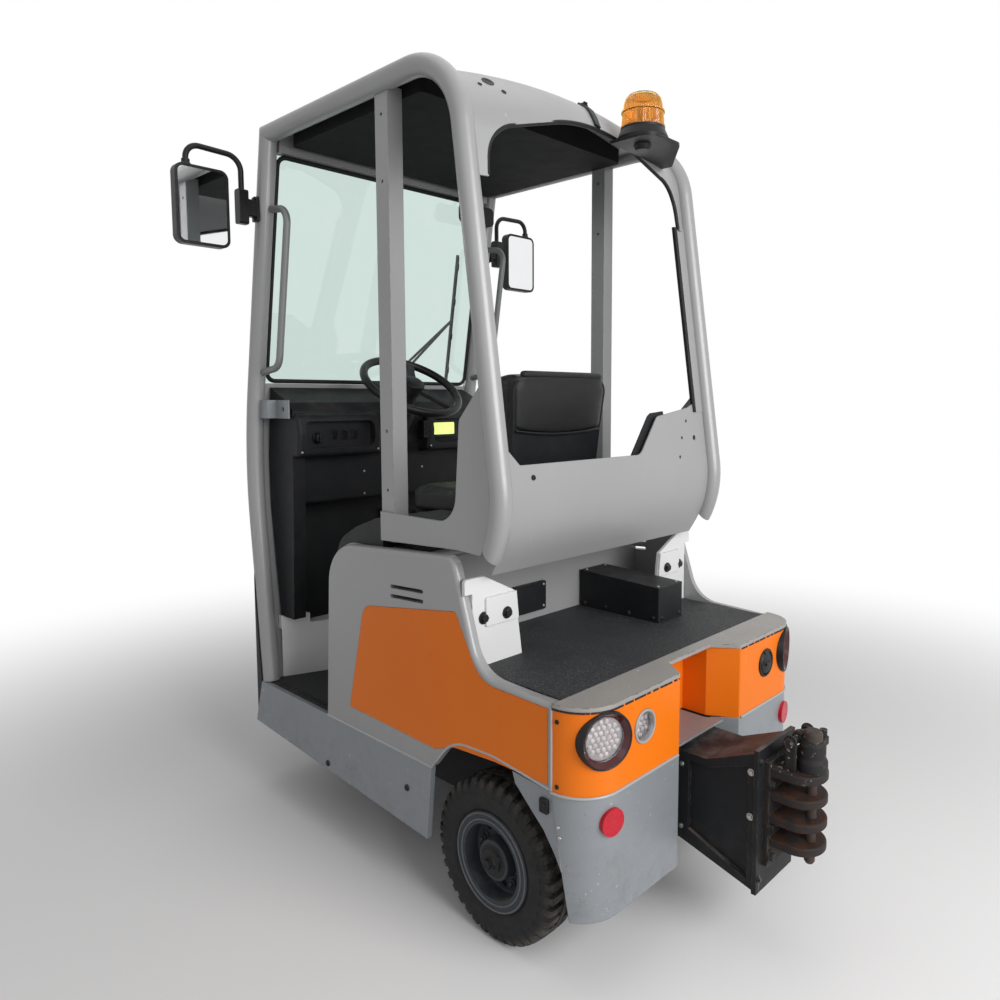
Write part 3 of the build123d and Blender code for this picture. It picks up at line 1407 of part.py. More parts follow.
def beacon():
    """Warning beacon: bracket plate out from the fascia, cone base and two-stage dome."""
    plate_top = BEACON_PLATE_Z + BEACON_PLATE_T
    low_r, high_r = BEACON_BASE_R
    tip_y = BEACON_Y - 225
    plate = prism_z(
        [
            (BEACON_X - low_r - 4, BEACON_Y + low_r, 40),
            (BEACON_X + low_r + 4, BEACON_Y + low_r, 40),
            (BEACON_X + 2 * low_r, BEACON_Y - low_r, 0),
            (BEACON_X + 2 * low_r, tip_y, 0),
            (BEACON_X + low_r - 20, tip_y, 8),
            (BEACON_X - low_r - 4, BEACON_Y - low_r, 40),
        ],
        BEACON_PLATE_Z,
        plate_top,
    )
    plate = largest(plate - roof_shell(-TUBE_CORNER_R / 2, SKIN_T / 2 + FIT_GAP))
    dome_z = plate_top + BEACON_BASE_H
    base = spun(
        [
            (0, plate_top - 1, 0),
            (low_r, plate_top - 1, 0),
            (low_r, plate_top + 8, 3),
            (high_r, dome_z - 6, 0),
            (high_r, dome_z, 0),
            (0, dome_z, 0),
        ]
    )
    boss = spun([(0, -14, 0), (20, -14, 4), (26, 1, 0), (0, 1, 0)])
    beacon_base = plate + Pos(BEACON_X, BEACON_Y, 0) * base
    beacon_base += Pos(BEACON_X, BEACON_Y, BEACON_PLATE_Z) * boss
    save("beacon_base", beacon_base)
    r = BEACON_DOME_R
    ridge_z = dome_z + BEACON_RIDGE_H
    top_z = dome_z + BEACON_DOME_H
    dome = spun(
        [
            (0, dome_z, 0),
            (r, dome_z, 0),
            (r - 3, ridge_z - 4, 0),
            (r - 1, ridge_z, 1),
            (r - 5, ridge_z + 4, 0),
            (r - 9, top_z, 24),
            (0, top_z, 0),
        ]
    )
    save("beacon_dome", Pos(BEACON_X, BEACON_Y, 0) * dome)


def main():
    """Builds and writes every piece."""
    os.makedirs("parts", exist_ok=True)
    wheels()
    steer_fork()
    main_frame()
    rear_axle()
    battery()
    foot_platform()
    entry_steps()
    sills()
    side_panels()
    tail_rings, tail_lenses = tail()
    deck()
    seat_box()
    deck_fittings()
    tow_box()
    coupler()
    head_rings, head_lenses = nose()
    save("lamp_rings", *tail_rings, *head_rings)
    save("lamp_lenses", *tail_lenses, *head_lenses)
    cab_frame()
    rear_panel()
    roof()
    front()
    wiper()
    dash()
    steering_wheel()
    seat()
    side_covers()
    mirrors()
    grab_handles()
    beacon()


main()
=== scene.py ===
import json
import logging
import math
import random
from dataclasses import dataclass, field
from enum import Enum
from typing import Dict, List, Optional, Sequence, Tuple, Union

import bmesh
import bpy
from mathutils import Matrix, Vector
from mathutils.bvhtree import BVHTree


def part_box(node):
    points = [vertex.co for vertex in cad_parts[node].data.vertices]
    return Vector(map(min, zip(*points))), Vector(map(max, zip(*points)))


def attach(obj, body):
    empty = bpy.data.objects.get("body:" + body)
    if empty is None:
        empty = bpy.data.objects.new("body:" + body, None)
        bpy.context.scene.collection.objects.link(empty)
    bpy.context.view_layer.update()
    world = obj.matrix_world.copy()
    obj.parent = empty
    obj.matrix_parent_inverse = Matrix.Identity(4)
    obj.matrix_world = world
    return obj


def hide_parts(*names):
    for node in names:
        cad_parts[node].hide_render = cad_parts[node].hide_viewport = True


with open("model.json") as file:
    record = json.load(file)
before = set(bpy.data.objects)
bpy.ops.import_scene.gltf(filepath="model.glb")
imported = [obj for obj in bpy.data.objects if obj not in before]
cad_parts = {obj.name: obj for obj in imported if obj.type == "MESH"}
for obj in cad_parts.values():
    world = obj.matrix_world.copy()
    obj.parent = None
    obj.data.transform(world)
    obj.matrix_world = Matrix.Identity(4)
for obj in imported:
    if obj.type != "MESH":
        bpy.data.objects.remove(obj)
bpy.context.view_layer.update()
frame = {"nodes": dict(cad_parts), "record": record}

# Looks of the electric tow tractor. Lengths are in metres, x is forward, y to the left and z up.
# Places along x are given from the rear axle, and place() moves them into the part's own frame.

log = logging.getLogger("tow_tractor")

Colour = Tuple[float, float, float]
Row = Tuple[float, float]
Spot = Tuple[float, float, float]
Rows = Tuple[Row, ...]
Spots = Tuple[Spot, ...]
Given = Union["Val", float, Sequence[float]]

AXLE_X = sum(corner.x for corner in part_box("rear_rim_left")) / 2
SIDES = ((1, "left"), (-1, "right"))
FORWARD = (1.0, 0.0, 0.0)
BACKWARD = (-1.0, 0.0, 0.0)
LEFT = (0.0, 1.0, 0.0)
RIGHT = (0.0, -1.0, 0.0)
DOWN = (0.0, 0.0, -1.0)
PARALLEL = 1e-3  # sine of an angle too small to set a frame by
TINY = 1e-6  # points nearer than this are one
FULL_TURN = 2 * math.pi
EDGE_REACH = 0.004  # how far wear reaches from an edge
SOFT_EDGE = 0.002  # radius at which the light rounds an edge
BEVEL_SAMPLES = 4
EDGE_BAND = (0.02, 0.2)  # turn of the normal from the first trace of wear to full wear


def place(x: float, y: float, z: float) -> Vector:
    """Point in the part's frame, with x forward of the rear axle, y to the left and z up."""
    return Vector((AXLE_X + x, y, z))


def facing(origin: Vector, normal: Sequence[float], up: Sequence[float] = (0, 0, 1)) -> Matrix:
    """Frame on a surface.

    Args:
        origin: Where the frame stands.
        normal: Direction of its z axis, out of the surface.
        up: Direction that its y axis leans to.

    Returns:
        The matrix from the frame to the part.
    """
    z_axis = Vector(normal).normalized()
    lean = Vector(up).cross(z_axis)
    x_axis = (lean if lean.length > PARALLEL else Vector(LEFT).cross(z_axis)).normalized()
    y_axis = z_axis.cross(x_axis)
    return Matrix.Translation(origin) @ Matrix((x_axis, y_axis, z_axis)).transposed().to_4x4()


class Body(Enum):
    """Bodies of the part that pieces ride on."""

    CHASSIS = "chassis"
    FRONT_WHEEL = "front_wheel"
    REAR_LEFT = "rear_wheel_left"
    REAR_RIGHT = "rear_wheel_right"
    STEERING_WHEEL = "steering_wheel"


@dataclass(frozen=True)
class Pattern:
    """Noise of one kind: its look, the band that makes it a mask and how far it moves a value."""

    scale: float
    detail: float = 2.0
    rough: float = 0.5
    stretch: Spot = (1, 1, 1)
    band: Row = (0.0, 1.0)
    amount: float = 0.0


class Val:
    """A socket of a shader graph; arithmetic on it adds Math nodes."""

    def __init__(self, graph: "Graph", socket: bpy.types.NodeSocket) -> None:
        """Wraps an output socket of a graph."""
        self.graph = graph
        self.socket = socket

    def _math(self, operation: str, first: Given, second: Given) -> "Val":
        """Result of one Math node on two values."""
        return self.graph.value("ShaderNodeMath", {"operation": operation}, {0: first, 1: second})

    def __add__(self, other: Given) -> "Val":
        """Sum."""
        return self._math("ADD", self, other)

    def __radd__(self, other: Given) -> "Val":
        """Sum with a number first."""
        return self._math("ADD", other, self)

    def __sub__(self, other: Given) -> "Val":
        """Difference."""
        return self._math("SUBTRACT", self, other)

    def __rsub__(self, other: Given) -> "Val":
        """Difference with a number first."""
        return self._math("SUBTRACT", other, self)

    def __mul__(self, other: Given) -> "Val":
        """Product."""
        return self._math("MULTIPLY", self, other)

    def __rmul__(self, other: Given) -> "Val":
        """Product with a number first."""
        return self._math("MULTIPLY", other, self)

    def sine(self) -> "Val":
        """Sine of the value."""
        return self._math("SINE", self, 0.0)

    def most(self, other: Given) -> "Val":
        """The larger of two values."""
        return self._math("MAXIMUM", self, other)

    def rise(self, low: float, high: float) -> "Val":
        """Smooth step from 0 at low to 1 at high."""
        settings = {"interpolation_type": "SMOOTHSTEP"}
        inputs = {0: self, 1: low, 2: high, 3: 0.0, 4: 1.0}
        return self.graph.value("ShaderNodeMapRange", settings, inputs)


class Graph:
    """Node tree of one material or world, with its shader and output in place."""

    def __init__(
        self,
        owner: Union[bpy.types.Material, bpy.types.World],
        shader: str = "ShaderNodeBsdfPrincipled",
        output: str = "ShaderNodeOutputMaterial",
    ) -> None:
        """Starts a tree.

        Args:
            owner: The new material or world.
            shader: Type of its shader.
            output: Type of its output.
        """
        owner.use_nodes = True
        self.owner = owner
        self.tree = owner.node_tree
        self.tree.nodes.clear()
        self.shader = self.node(shader)
        self.output = self.node(output, {}, {"Surface": self.shader.outputs[0]})
        self.spot = self.value("ShaderNodeTexCoord", output="Object")
        self.normal = self.value("ShaderNodeNewGeometry", output="Normal")

    def feed(self, socket: bpy.types.NodeSocket, given: object) -> None:
        """Sets a socket to a number or colour, or links it.

        Args:
            socket: The input socket.
            given: A number, a colour, a wrapped value or an output socket.
        """
        source = given.socket if isinstance(given, Val) else given
        if isinstance(source, bpy.types.NodeSocket):
            self.tree.links.new(source, socket)
        elif socket.type == "RGBA" and len(source) == 3:
            socket.default_value = (*source, 1.0)
        else:
            socket.default_value = source

    def node(
        self, kind: str, settings: Optional[dict] = None, inputs: Optional[dict] = None
    ) -> bpy.types.Node:
        """Adds any node.

        Args:
            kind: The node's type.
            settings: Its own settings, set first.
            inputs: Values or links of its sockets, by name or number.

        Returns:
            The node.
        """
        made = self.tree.nodes.new(kind)
        for key, setting in (settings or {}).items():
            setattr(made, key, setting)
        for key, given in (inputs or {}).items():
            self.feed(made.inputs[key], given)
        return made

    def value(
        self,
        kind: str,
        settings: Optional[dict] = None,
        inputs: Optional[dict] = None,
        output: Union[int, str] = 0,
    ) -> Val:
        """Adds any node and takes one of its outputs.

        Args:
            kind: The node's type.
            settings: Its own settings.
            inputs: Values or links of its sockets.
            output: Name or number of the output.

        Returns:
            The wrapped output.
        """
        return Val(self, self.node(kind, settings, inputs).outputs[output])

    def mix(self, share: Given, low: Given, high: Given, blend: str = "MIX") -> Val:
        """Mix of two colours, with the share of the second one and the way of blending."""
        settings = {"data_type": "RGBA", "blend_type": blend}
        return self.value("ShaderNodeMix", settings, {0: share, 6: low, 7: high}, 2)

    def vector(self, operation: str, first: Given, second: Given, output: str = "Vector") -> Val:
        """Result of one Vector Math node on two vectors, as its Vector or its Value."""
        settings = {"operation": operation}
        return self.value("ShaderNodeVectorMath", settings, {0: first, 1: second}, output)

    def along(self, axis: str, source: Optional[Val] = None) -> Val:
        """One part of a vector, or of the spot on the surface if none is given."""
        return self.value("ShaderNodeSeparateXYZ", {}, {0: source or self.spot}, axis)

    def noise(self, pattern: Pattern) -> Val:
        """Noise over the surface, about 0.5."""
        spot = self.spot
        if pattern.stretch != (1, 1, 1):
            spot = self.vector("MULTIPLY", spot, pattern.stretch)
        inputs = {"Vector": spot, "Scale": pattern.scale}
        inputs.update({"Detail": pattern.detail, "Roughness": pattern.rough})
        return self.value("ShaderNodeTexNoise", {}, inputs)

    def mask(self, pattern: Pattern) -> Val:
        """Patches of noise, from 0 to 1 over the pattern's band."""
        return self.noise(pattern).rise(*pattern.band)

    def sway(self, pattern: Pattern) -> Val:
        """Noise about zero, as large as the pattern's amount."""
        return (self.noise(pattern) - 0.5) * pattern.amount

    def cells(self, scale: float, feature: str = "F1") -> Val:
        """Distance to the nearest point of a random field, with so many cells in a metre."""
        inputs = {"Vector": self.spot, "Scale": scale}
        return self.value("ShaderNodeTexVoronoi", {"feature": feature}, inputs)

    def softened(self, radius: float) -> Val:
        """Normal that runs round each edge within a radius."""
        return self.value("ShaderNodeBevel", {"samples": BEVEL_SAMPLES}, {"Radius": radius})

    def edges(self, radius: float) -> Val:
        """Mask of sharp edges that reaches a radius from them."""
        level = self.vector("DOT_PRODUCT", self.softened(radius), self.normal, "Value")
        return (1.0 - level).rise(*EDGE_BAND)

    def bump(
        self, height: Val, distance: float, base: Optional[Val] = None, strength: float = 1.0
    ) -> Val:
        """Bumped normal.

        Args:
            height: Height from 0 to 1.
            distance: Depth in metres.
            base: Normal to start from.
            strength: Share of the bump.

        Returns:
            The normal.
        """
        inputs = {"Height": height, "Distance": distance, "Strength": strength}
        if base is not None:
            inputs["Normal"] = base
        return self.value("ShaderNodeBump", {}, inputs)

    def shown(self) -> Val:
        """Mask of rays that show a surface.

        Returns:
            1 straight to the camera, in a reflection or through glass, and otherwise 0.
        """
        outputs = self.node("ShaderNodeLightPath").outputs
        seen, mirrored, through = (
            Val(self, outputs[f"Is {kind} Ray"]) for kind in ("Camera", "Glossy", "Transmission")
        )
        return seen.most(mirrored).most(through)

    def finish(self, **sockets: object) -> bpy.types.Material:
        """Feeds the shader.

        Args:
            sockets: Values or links by the socket's name, with _ for spaces.

        Returns:
            The finished material or world.
        """
        for name, given in sockets.items():
            self.feed(self.shader.inputs[name.replace("_", " ")], given)
        return self.owner


def shade(colour: Colour, share: float) -> Colour:
    """A colour made darker, as a share of its light."""
    return tuple(share * part for part in colour)


@dataclass(frozen=True)
class Finish:
    """A finish with the record's slot that it belongs to."""

    name: str
    slot: str

    def paint(self, g: Graph) -> bpy.types.Material:
        """Builds the shader in a graph and returns the material."""
        raise NotImplementedError

    def material(self) -> bpy.types.Material:
        """The finish's material, made once."""
        name = f"{self.name}_finish"
        made = bpy.data.materials.get(name)
        return made or self.paint(Graph(bpy.data.materials.new(name)))


@dataclass(frozen=True)
class Paint(Finish):
    """Sprayed paint with chips along edges, scratches, dust on top and grime near the floor."""

    colour: Colour
    roughness: float
    metallic: float = 0.0
    coat: float = 0.2
    undercoat: Colour = (0.07, 0.07, 0.072)
    wear: float = 0.4
    dust: float = 0.25
    grime: float = 0.3
    specular: float = 0.3
    dust_colour: Colour = (0.36, 0.33, 0.29)
    flecks: float = 0.0
    light: float = 0.93
    blotches: Pattern = Pattern(2.4, 3, amount=0.16)
    specks: Pattern = Pattern(1400, 1, amount=0.12)
    scratches: Pattern = Pattern(70, 3, 0.6, (1, 1, 0.06), (0.66, 0.72))
    scratched: Pattern = Pattern(5, 2, band=(0.5, 0.7))
    scratch_share: float = 0.5
    scratch_colour: Colour = (0.75, 0.75, 0.75)
    pale_flecks: Pattern = Pattern(95, 2, band=(0.70, 0.73))
    flecked: Pattern = Pattern(8, 2, band=(0.45, 0.6))
    pale_colour: Colour = (0.62, 0.61, 0.60)
    dark_flecks: Pattern = Pattern(120, 3, 0.5, (1, 1.7, 1), (0.69, 0.72))
    dark_share: float = 0.7
    dark_colour: Colour = (0.05, 0.045, 0.04)
    facing_up: Row = (0.3, 0.95)
    dusty: Pattern = Pattern(9, 5, 0.65, band=(0.35, 0.75))
    grime_z: Row = (0.12, 0.55)
    grimy: Pattern = Pattern(14, 5, 0.7, band=(0.42, 0.8))
    grime_colour: Colour = (0.09, 0.08, 0.07)
    chipped: Pattern = Pattern(48, 4, 0.7, band=(0.5, 0.6))
    chip_depth: float = 0.0003
    uneven: Pattern = Pattern(30, 3, amount=0.12)
    dulled: Spot = (0.4, 0.3, 0.3)
    peel: Pattern = Pattern(210, 1)
    peel_depth: float = 0.00012
    peel_share: float = 0.6
    coat_roughness: float = 0.2

    def paint(self, g: Graph) -> bpy.types.Material:
        """Builds the paint."""
        tone = self.light + g.sway(self.blotches) + g.sway(self.specks)
        base = g.mix(1.0, self.colour, tone, "MULTIPLY")
        scratch = g.mask(self.scratches) * g.mask(self.scratched)
        base = g.mix(scratch * (self.scratch_share * self.wear), base, self.scratch_colour)
        if self.flecks:
            pale = g.mask(self.pale_flecks) * g.mask(self.flecked)
            base = g.mix(pale * self.flecks, base, self.pale_colour)
            dark = g.mask(self.dark_flecks) * (self.dark_share * self.flecks)
            base = g.mix(dark, base, self.dark_colour)
        upward = g.along("Z", g.normal).rise(*self.facing_up)
        dust = upward * g.mask(self.dusty) * self.dust
        base = g.mix(dust, base, self.dust_colour)
        low = 1.0 - g.along("Z").rise(*self.grime_z)
        grime = low * g.mask(self.grimy) * self.grime
        base = g.mix(grime, base, self.grime_colour)
        chips = g.edges(EDGE_REACH) * g.mask(self.chipped) * self.wear
        base = g.mix(chips, base, self.undercoat)
        by_dust, by_grime, by_chips = self.dulled
        rough = self.roughness + g.sway(self.uneven)
        rough = rough + dust * by_dust + grime * by_grime + chips * by_chips
        peel = g.bump(g.noise(self.peel), self.peel_depth, g.softened(SOFT_EDGE), self.peel_share)
        return g.finish(
            Base_Color=base,
            Roughness=rough,
            Metallic=self.metallic * (1.0 - chips),
            Coat_Weight=self.coat,
            Coat_Roughness=self.coat_roughness,
            Specular_IOR_Level=self.specular,
            Normal=g.bump(1.0 - chips, self.chip_depth, peel),
        )


@dataclass(frozen=True)
class Moulding(Finish):
    """Grained plastic or rubber with dust in its grain."""

    colour: Colour
    roughness: float
    grain: float = 900.0
    depth: float = 0.00015
    dust: float = 0.2
    dust_colour: Colour = (0.30, 0.28, 0.25)
    specular: float = 0.22
    light: float = 0.85
    blotches: Pattern = Pattern(4, 3, amount=0.5)
    specks: Pattern = Pattern(300, 2, amount=0.2)
    facing_up: Row = (0.1, 0.95)
    dust_all_round: float = 0.25
    dusty: Pattern = Pattern(12, 5, 0.65, band=(0.4, 0.8))
    scuffed: Pattern = Pattern(60, 3, band=(0.45, 0.65))
    scuff_share: float = 0.12
    scuff_colour: Colour = (0.4, 0.4, 0.4)
    uneven: Pattern = Pattern(18, 3, amount=0.2)
    dulled: float = 0.4
    polished: float = 0.1

    def paint(self, g: Graph) -> bpy.types.Material:
        """Builds the moulding."""
        tone = self.light + g.sway(self.blotches) + g.sway(self.specks)
        base = g.mix(1.0, self.colour, tone, "MULTIPLY")
        upward = g.along("Z", g.normal).rise(*self.facing_up)
        dust = (self.dust_all_round + upward) * g.mask(self.dusty) * self.dust
        base = g.mix(dust, base, self.dust_colour)
        scuff = g.edges(EDGE_REACH) * g.mask(self.scuffed)
        base = g.mix(scuff * self.scuff_share, base, self.scuff_colour)
        rough = self.roughness + g.sway(self.uneven) + dust * self.dulled - scuff * self.polished
        return g.finish(
            Base_Color=base,
            Roughness=rough,
            Specular_IOR_Level=self.specular,
            Normal=g.bump(g.cells(self.grain), self.depth, g.softened(SOFT_EDGE)),
        )


@dataclass(frozen=True)
class Mat(Finish):
    """Rubber mat, scuffed pale in fine threads."""

    colour: Colour = (0.022, 0.023, 0.025)
    roughness: float = 0.62
    specular: float = 0.25
    rubbed: Pattern = Pattern(4, 3, band=(0.32, 0.62))
    rub: Row = (0.15, 0.6)
    threads: Pattern = Pattern(260, 6, 0.8, band=(0.52, 0.66))
    scuff_colour: Colour = (0.24, 0.24, 0.24)
    dusty: Pattern = Pattern(22, 6, 0.7, band=(0.5, 0.8))
    dust_share: float = 0.15
    dust_colour: Colour = (0.20, 0.19, 0.17)
    dulled: float = 0.25
    polished: float = 0.1
    grain: float = 260.0
    raised: float = 0.6
    depth: float = 0.0004

    def paint(self, g: Graph) -> bpy.types.Material:
        """Builds the mat."""
        threads = g.mask(self.threads)
        least, more = self.rub
        streaks = threads * (least + g.mask(self.rubbed) * more)
        base = g.mix(streaks, self.colour, self.scuff_colour)
        dust = g.mask(self.dusty)
        base = g.mix(dust * self.dust_share, base, self.dust_colour)
        return g.finish(
            Base_Color=base,
            Roughness=self.roughness + dust * self.dulled - streaks * self.polished,
            Specular_IOR_Level=self.specular,
            Normal=g.bump(g.cells(self.grain) + threads * self.raised, self.depth),
        )


@dataclass(frozen=True)
class Cast(Finish):
    """Rough casting with rust that gathers away from the rubbed edges."""

    colour: Colour
    rust: Colour = (0.10, 0.042, 0.020)
    rusted: float = 0.8
    roughness: float = 0.6
    metallic: float = 0.1
    specular: float = 0.2
    top_z: Row = (0.44, 0.49)
    top_clean: float = 0.8
    rusty: Pattern = Pattern(34, 6, 0.7, band=(0.36, 0.60))
    on_walls: float = 0.3
    on_ledges: float = 0.7
    rust_tones: Pattern = Pattern(120, 4)
    old_rust: float = 0.45
    rubbed: Pattern = Pattern(40, 3, band=(0.4, 0.6))
    rub_reach: float = 0.005
    rub_share: float = 0.45
    rub_colour: Colour = (0.26, 0.24, 0.22)
    nicks: Pattern = Pattern(85, 3, band=(0.64, 0.70))
    nick_share: float = 0.8
    nick_colour: Colour = (0.40, 0.38, 0.36)
    dulled: float = 0.28
    polished: float = 0.25
    bared: float = 0.5
    pits: Pattern = Pattern(240, 5, 0.65)
    lumps: Pattern = Pattern(60, 3)
    lump_share: float = 0.7
    depth: float = 0.0009

    def paint(self, g: Graph) -> bpy.types.Material:
        """Builds the casting."""
        high = g.along("Z").rise(*self.top_z)
        level = g.along("Z", g.normal)
        lying = self.on_walls + level * level * self.on_ledges
        rust = g.mask(self.rusty) * self.rusted * lying * (1.0 - high * self.top_clean)
        tone = g.mix(g.noise(self.rust_tones), self.rust, shade(self.rust, self.old_rust))
        base = g.mix(rust, self.colour, tone)
        rubbed = g.edges(self.rub_reach) * g.mask(self.rubbed)
        base = g.mix(rubbed * self.rub_share, base, self.rub_colour)
        base = g.mix(g.mask(self.nicks) * high * self.nick_share, base, self.nick_colour)
        height = g.noise(self.pits) + g.noise(self.lumps) * self.lump_share
        return g.finish(
            Base_Color=base,
            Roughness=self.roughness + rust * self.dulled - rubbed * self.polished,
            Metallic=self.metallic + rubbed * self.bared,
            Specular_IOR_Level=self.specular,
            Normal=g.bump(height, self.depth),
        )


@dataclass(frozen=True)
class Steel(Finish):
    """Bare or plated steel with fine brushing."""

    colour: Colour
    roughness: float
    stain: Colour = (0.20, 0.15, 0.11)
    stained: float = 0.25
    stains: Pattern = Pattern(45, 5, 0.7, band=(0.5, 0.75))
    brushing: Pattern = Pattern(500, 2, 0.5, (1, 1, 0.05))
    streaky: float = 0.15
    dulled: float = 0.4
    depth: float = 0.00005

    def paint(self, g: Graph) -> bpy.types.Material:
        """Builds the steel."""
        stain = g.mask(self.stains) * self.stained
        brushed = g.noise(self.brushing)
        return g.finish(
            Base_Color=g.mix(stain, self.colour, self.stain),
            Roughness=self.roughness + (brushed - 0.5) * self.streaky + stain * self.dulled,
            Metallic=1.0 - stain,
            Normal=g.bump(brushed, self.depth),
        )


@dataclass(frozen=True)
class Tread(Finish):
    """Tyre rubber: fine rings on the wall and pale dust on what meets the floor."""

    colour: Colour = (0.016, 0.016, 0.017)
    dust_colour: Colour = (0.16, 0.145, 0.125)
    outer_r: float = 0.205
    crown_t: float = 0.03
    roughness: float = 0.66
    specular: float = 0.22
    light: float = 0.8
    blotches: Pattern = Pattern(6, 3, amount=0.6)
    dusty: Pattern = Pattern(26, 5, 0.7, band=(0.3, 0.75))
    dust_on: Row = (0.12, 0.75)
    dust_share: float = 0.75
    dulled: float = 0.25
    ring_rate: float = 2600.0
    ring_share: float = 0.5
    grain: Pattern = Pattern(700, 3)
    grain_share: float = 0.8
    depth: float = 0.00022

    def paint(self, g: Graph) -> bpy.types.Material:
        """Builds the rubber; the wheel's middle is the spot's origin."""
        flat = g.vector("MULTIPLY", g.spot, (1, 0, 1))
        reach = g.vector("LENGTH", flat, (0, 0, 0), "Value")
        crown = reach.rise(self.outer_r - self.crown_t, self.outer_r)
        wall, tread = self.dust_on
        dust = (wall + crown * tread) * g.mask(self.dusty)
        tone = self.light + g.sway(self.blotches)
        base = g.mix(1.0, self.colour, tone, "MULTIPLY")
        rings = (reach * self.ring_rate).sine() * (1.0 - crown) * self.ring_share
        return g.finish(
            Base_Color=g.mix(dust * self.dust_share, base, self.dust_colour),
            Roughness=self.roughness + dust * self.dulled,
            Specular_IOR_Level=self.specular,
            Normal=g.bump(rings + g.noise(self.grain) * self.grain_share, self.depth),
        )


@dataclass(frozen=True)
class Vinyl(Finish):
    """Black seat vinyl with a fine leather grain and creases."""

    colour: Colour
    roughness: float = 0.36
    specular: float = 0.3
    light: float = 0.8
    blotches: Pattern = Pattern(5, 3, amount=0.5)
    pores: float = 620.0
    pore_wall: Row = (0.0, 0.22)
    pore_depth: float = 0.00018
    creases: Pattern = Pattern(36, 4, 0.6)
    crease_depth: float = 0.0015
    crease_share: float = 0.35
    crease_gloss: float = 0.25
    facing_up: Row = (0.2, 1.0)
    dusty: Pattern = Pattern(15, 5, band=(0.45, 0.8))
    dust_share: float = 0.12
    dust_colour: Colour = (0.3, 0.28, 0.25)
    dulled: float = 0.2

    def paint(self, g: Graph) -> bpy.types.Material:
        """Builds the vinyl."""
        pores = g.cells(self.pores, "DISTANCE_TO_EDGE").rise(*self.pore_wall)
        crease = g.noise(self.creases)
        tone = self.light + g.sway(self.blotches)
        base = g.mix(1.0, self.colour, tone, "MULTIPLY")
        dust = g.along("Z", g.normal).rise(*self.facing_up) * g.mask(self.dusty)
        creased = g.bump(crease, self.crease_depth, None, self.crease_share)
        return g.finish(
            Base_Color=g.mix(dust * self.dust_share, base, self.dust_colour),
            Roughness=self.roughness + (crease - 0.5) * self.crease_gloss + dust * self.dulled,
            Specular_IOR_Level=self.specular,
            Normal=g.bump(pores, self.pore_depth, creased),
        )


@dataclass(frozen=True)
class Clear(Finish):
    """Clear or tinted glass and lamp plastic, with faint smears."""

    colour: Colour
    roughness: float
    index: float = 1.45
    smears: Pattern = Pattern(7, 5, 0.6, band=(0.45, 0.8))
    smear_share: float = 0.08
    smear_colour: Colour = (0.85, 0.85, 0.85)
    dulled: float = 0.06

    def paint(self, g: Graph) -> bpy.types.Material:
        """Builds the clear body."""
        smear = g.mask(self.smears)
        return g.finish(
            Base_Color=g.mix(smear * self.smear_share, self.colour, self.smear_colour),
            Roughness=self.roughness + smear * self.dulled,
            IOR=self.index,
            Transmission_Weight=1.0,
        )


@dataclass(frozen=True)
class Shiny(Finish):
    """Mirror glass, bright plating or gloss moulding."""

    colour: Colour
    roughness: float
    metallic: float = 1.0
    haze: Pattern = Pattern(12, 4, 0.6, band=(0.45, 0.8))
    haze_share: float = 0.1
    haze_light: float = 0.7
    dulled: float = 0.05

    def paint(self, g: Graph) -> bpy.types.Material:
        """Builds the bright surface."""
        haze = g.mask(self.haze)
        hazy = shade(self.colour, self.haze_light)
        return g.finish(
            Base_Color=g.mix(haze * self.haze_share, self.colour, hazy),
            Roughness=self.roughness + haze * self.dulled,
            Metallic=self.metallic,
        )


@dataclass(frozen=True)
class Prismatic(Finish):
    """Reflector plastic with a fine pattern of prisms."""

    colour: Colour
    prisms: float = 700.0
    prism_wall: Row = (0.1, 0.7)
    wall_light: float = 0.45
    depth: float = 0.0004
    roughness: float = 0.18
    specular: float = 0.35

    def paint(self, g: Graph) -> bpy.types.Material:
        """Builds the reflector."""
        cell = g.cells(self.prisms)
        wall = cell.rise(*self.prism_wall)
        return g.finish(
            Base_Color=g.mix(wall, self.colour, shade(self.colour, self.wall_light)),
            Roughness=self.roughness,
            Specular_IOR_Level=self.specular,
            Normal=g.bump(cell, self.depth),
        )


@dataclass(frozen=True)
class Lit(Finish):
    """Lit screen with a fine grid of dots."""

    colour: Colour = (0.75, 0.85, 0.25)
    power: float = 0.9
    dot_rate: float = 5200.0
    dot_band: Row = (-0.9, 0.6)
    gap_light: float = 0.8
    roughness: float = 0.2

    def paint(self, g: Graph) -> bpy.types.Material:
        """Builds the screen."""
        across, up = (g.along(axis) * self.dot_rate for axis in ("Y", "Z"))
        dots = (across.sine() * up.sine()).rise(*self.dot_band)
        glow = g.mix(dots, shade(self.colour, self.gap_light), self.colour)
        return g.finish(
            Base_Color=glow,
            Roughness=self.roughness,
            Emission_Color=glow,
            Emission_Strength=self.power,
        )


SILVER = Paint("silver_paint", "silver_paint", (0.36, 0.36, 0.365), 0.34, 0.15, 0.05, dust=0.1)
GREY = Paint(
    "grey_paint", "grey_paint", (0.28, 0.30, 0.32), 0.34, 0.2, 0.05,
    grime=0.4, dust=0.2, flecks=0.5,
)
PALE = Paint("pale_paint", "pale_paint", (0.76, 0.76, 0.76), 0.45, 0.0, 0.0, grime=0.2)
ORANGE = Paint(
    "orange_paint", "orange_paint", (0.87, 0.19, 0.006), 0.42, 0.0, 0.05, dust=0.06, specular=0.2
)
DECK = Paint(
    "deck_paint", "silver_paint", (0.37, 0.35, 0.33), 0.4, 0.2, 0.0, (0.02, 0.02, 0.02),
    wear=1.0, dust=0.35, flecks=1.0,
)
DARK = Paint(
    "dark_steel", "dark_steel", (0.011, 0.012, 0.014), 0.5, 0.0, 0.0, (0.2, 0.17, 0.14),
    dust=0.6, specular=0.22, dust_colour=(0.24, 0.20, 0.185),
)
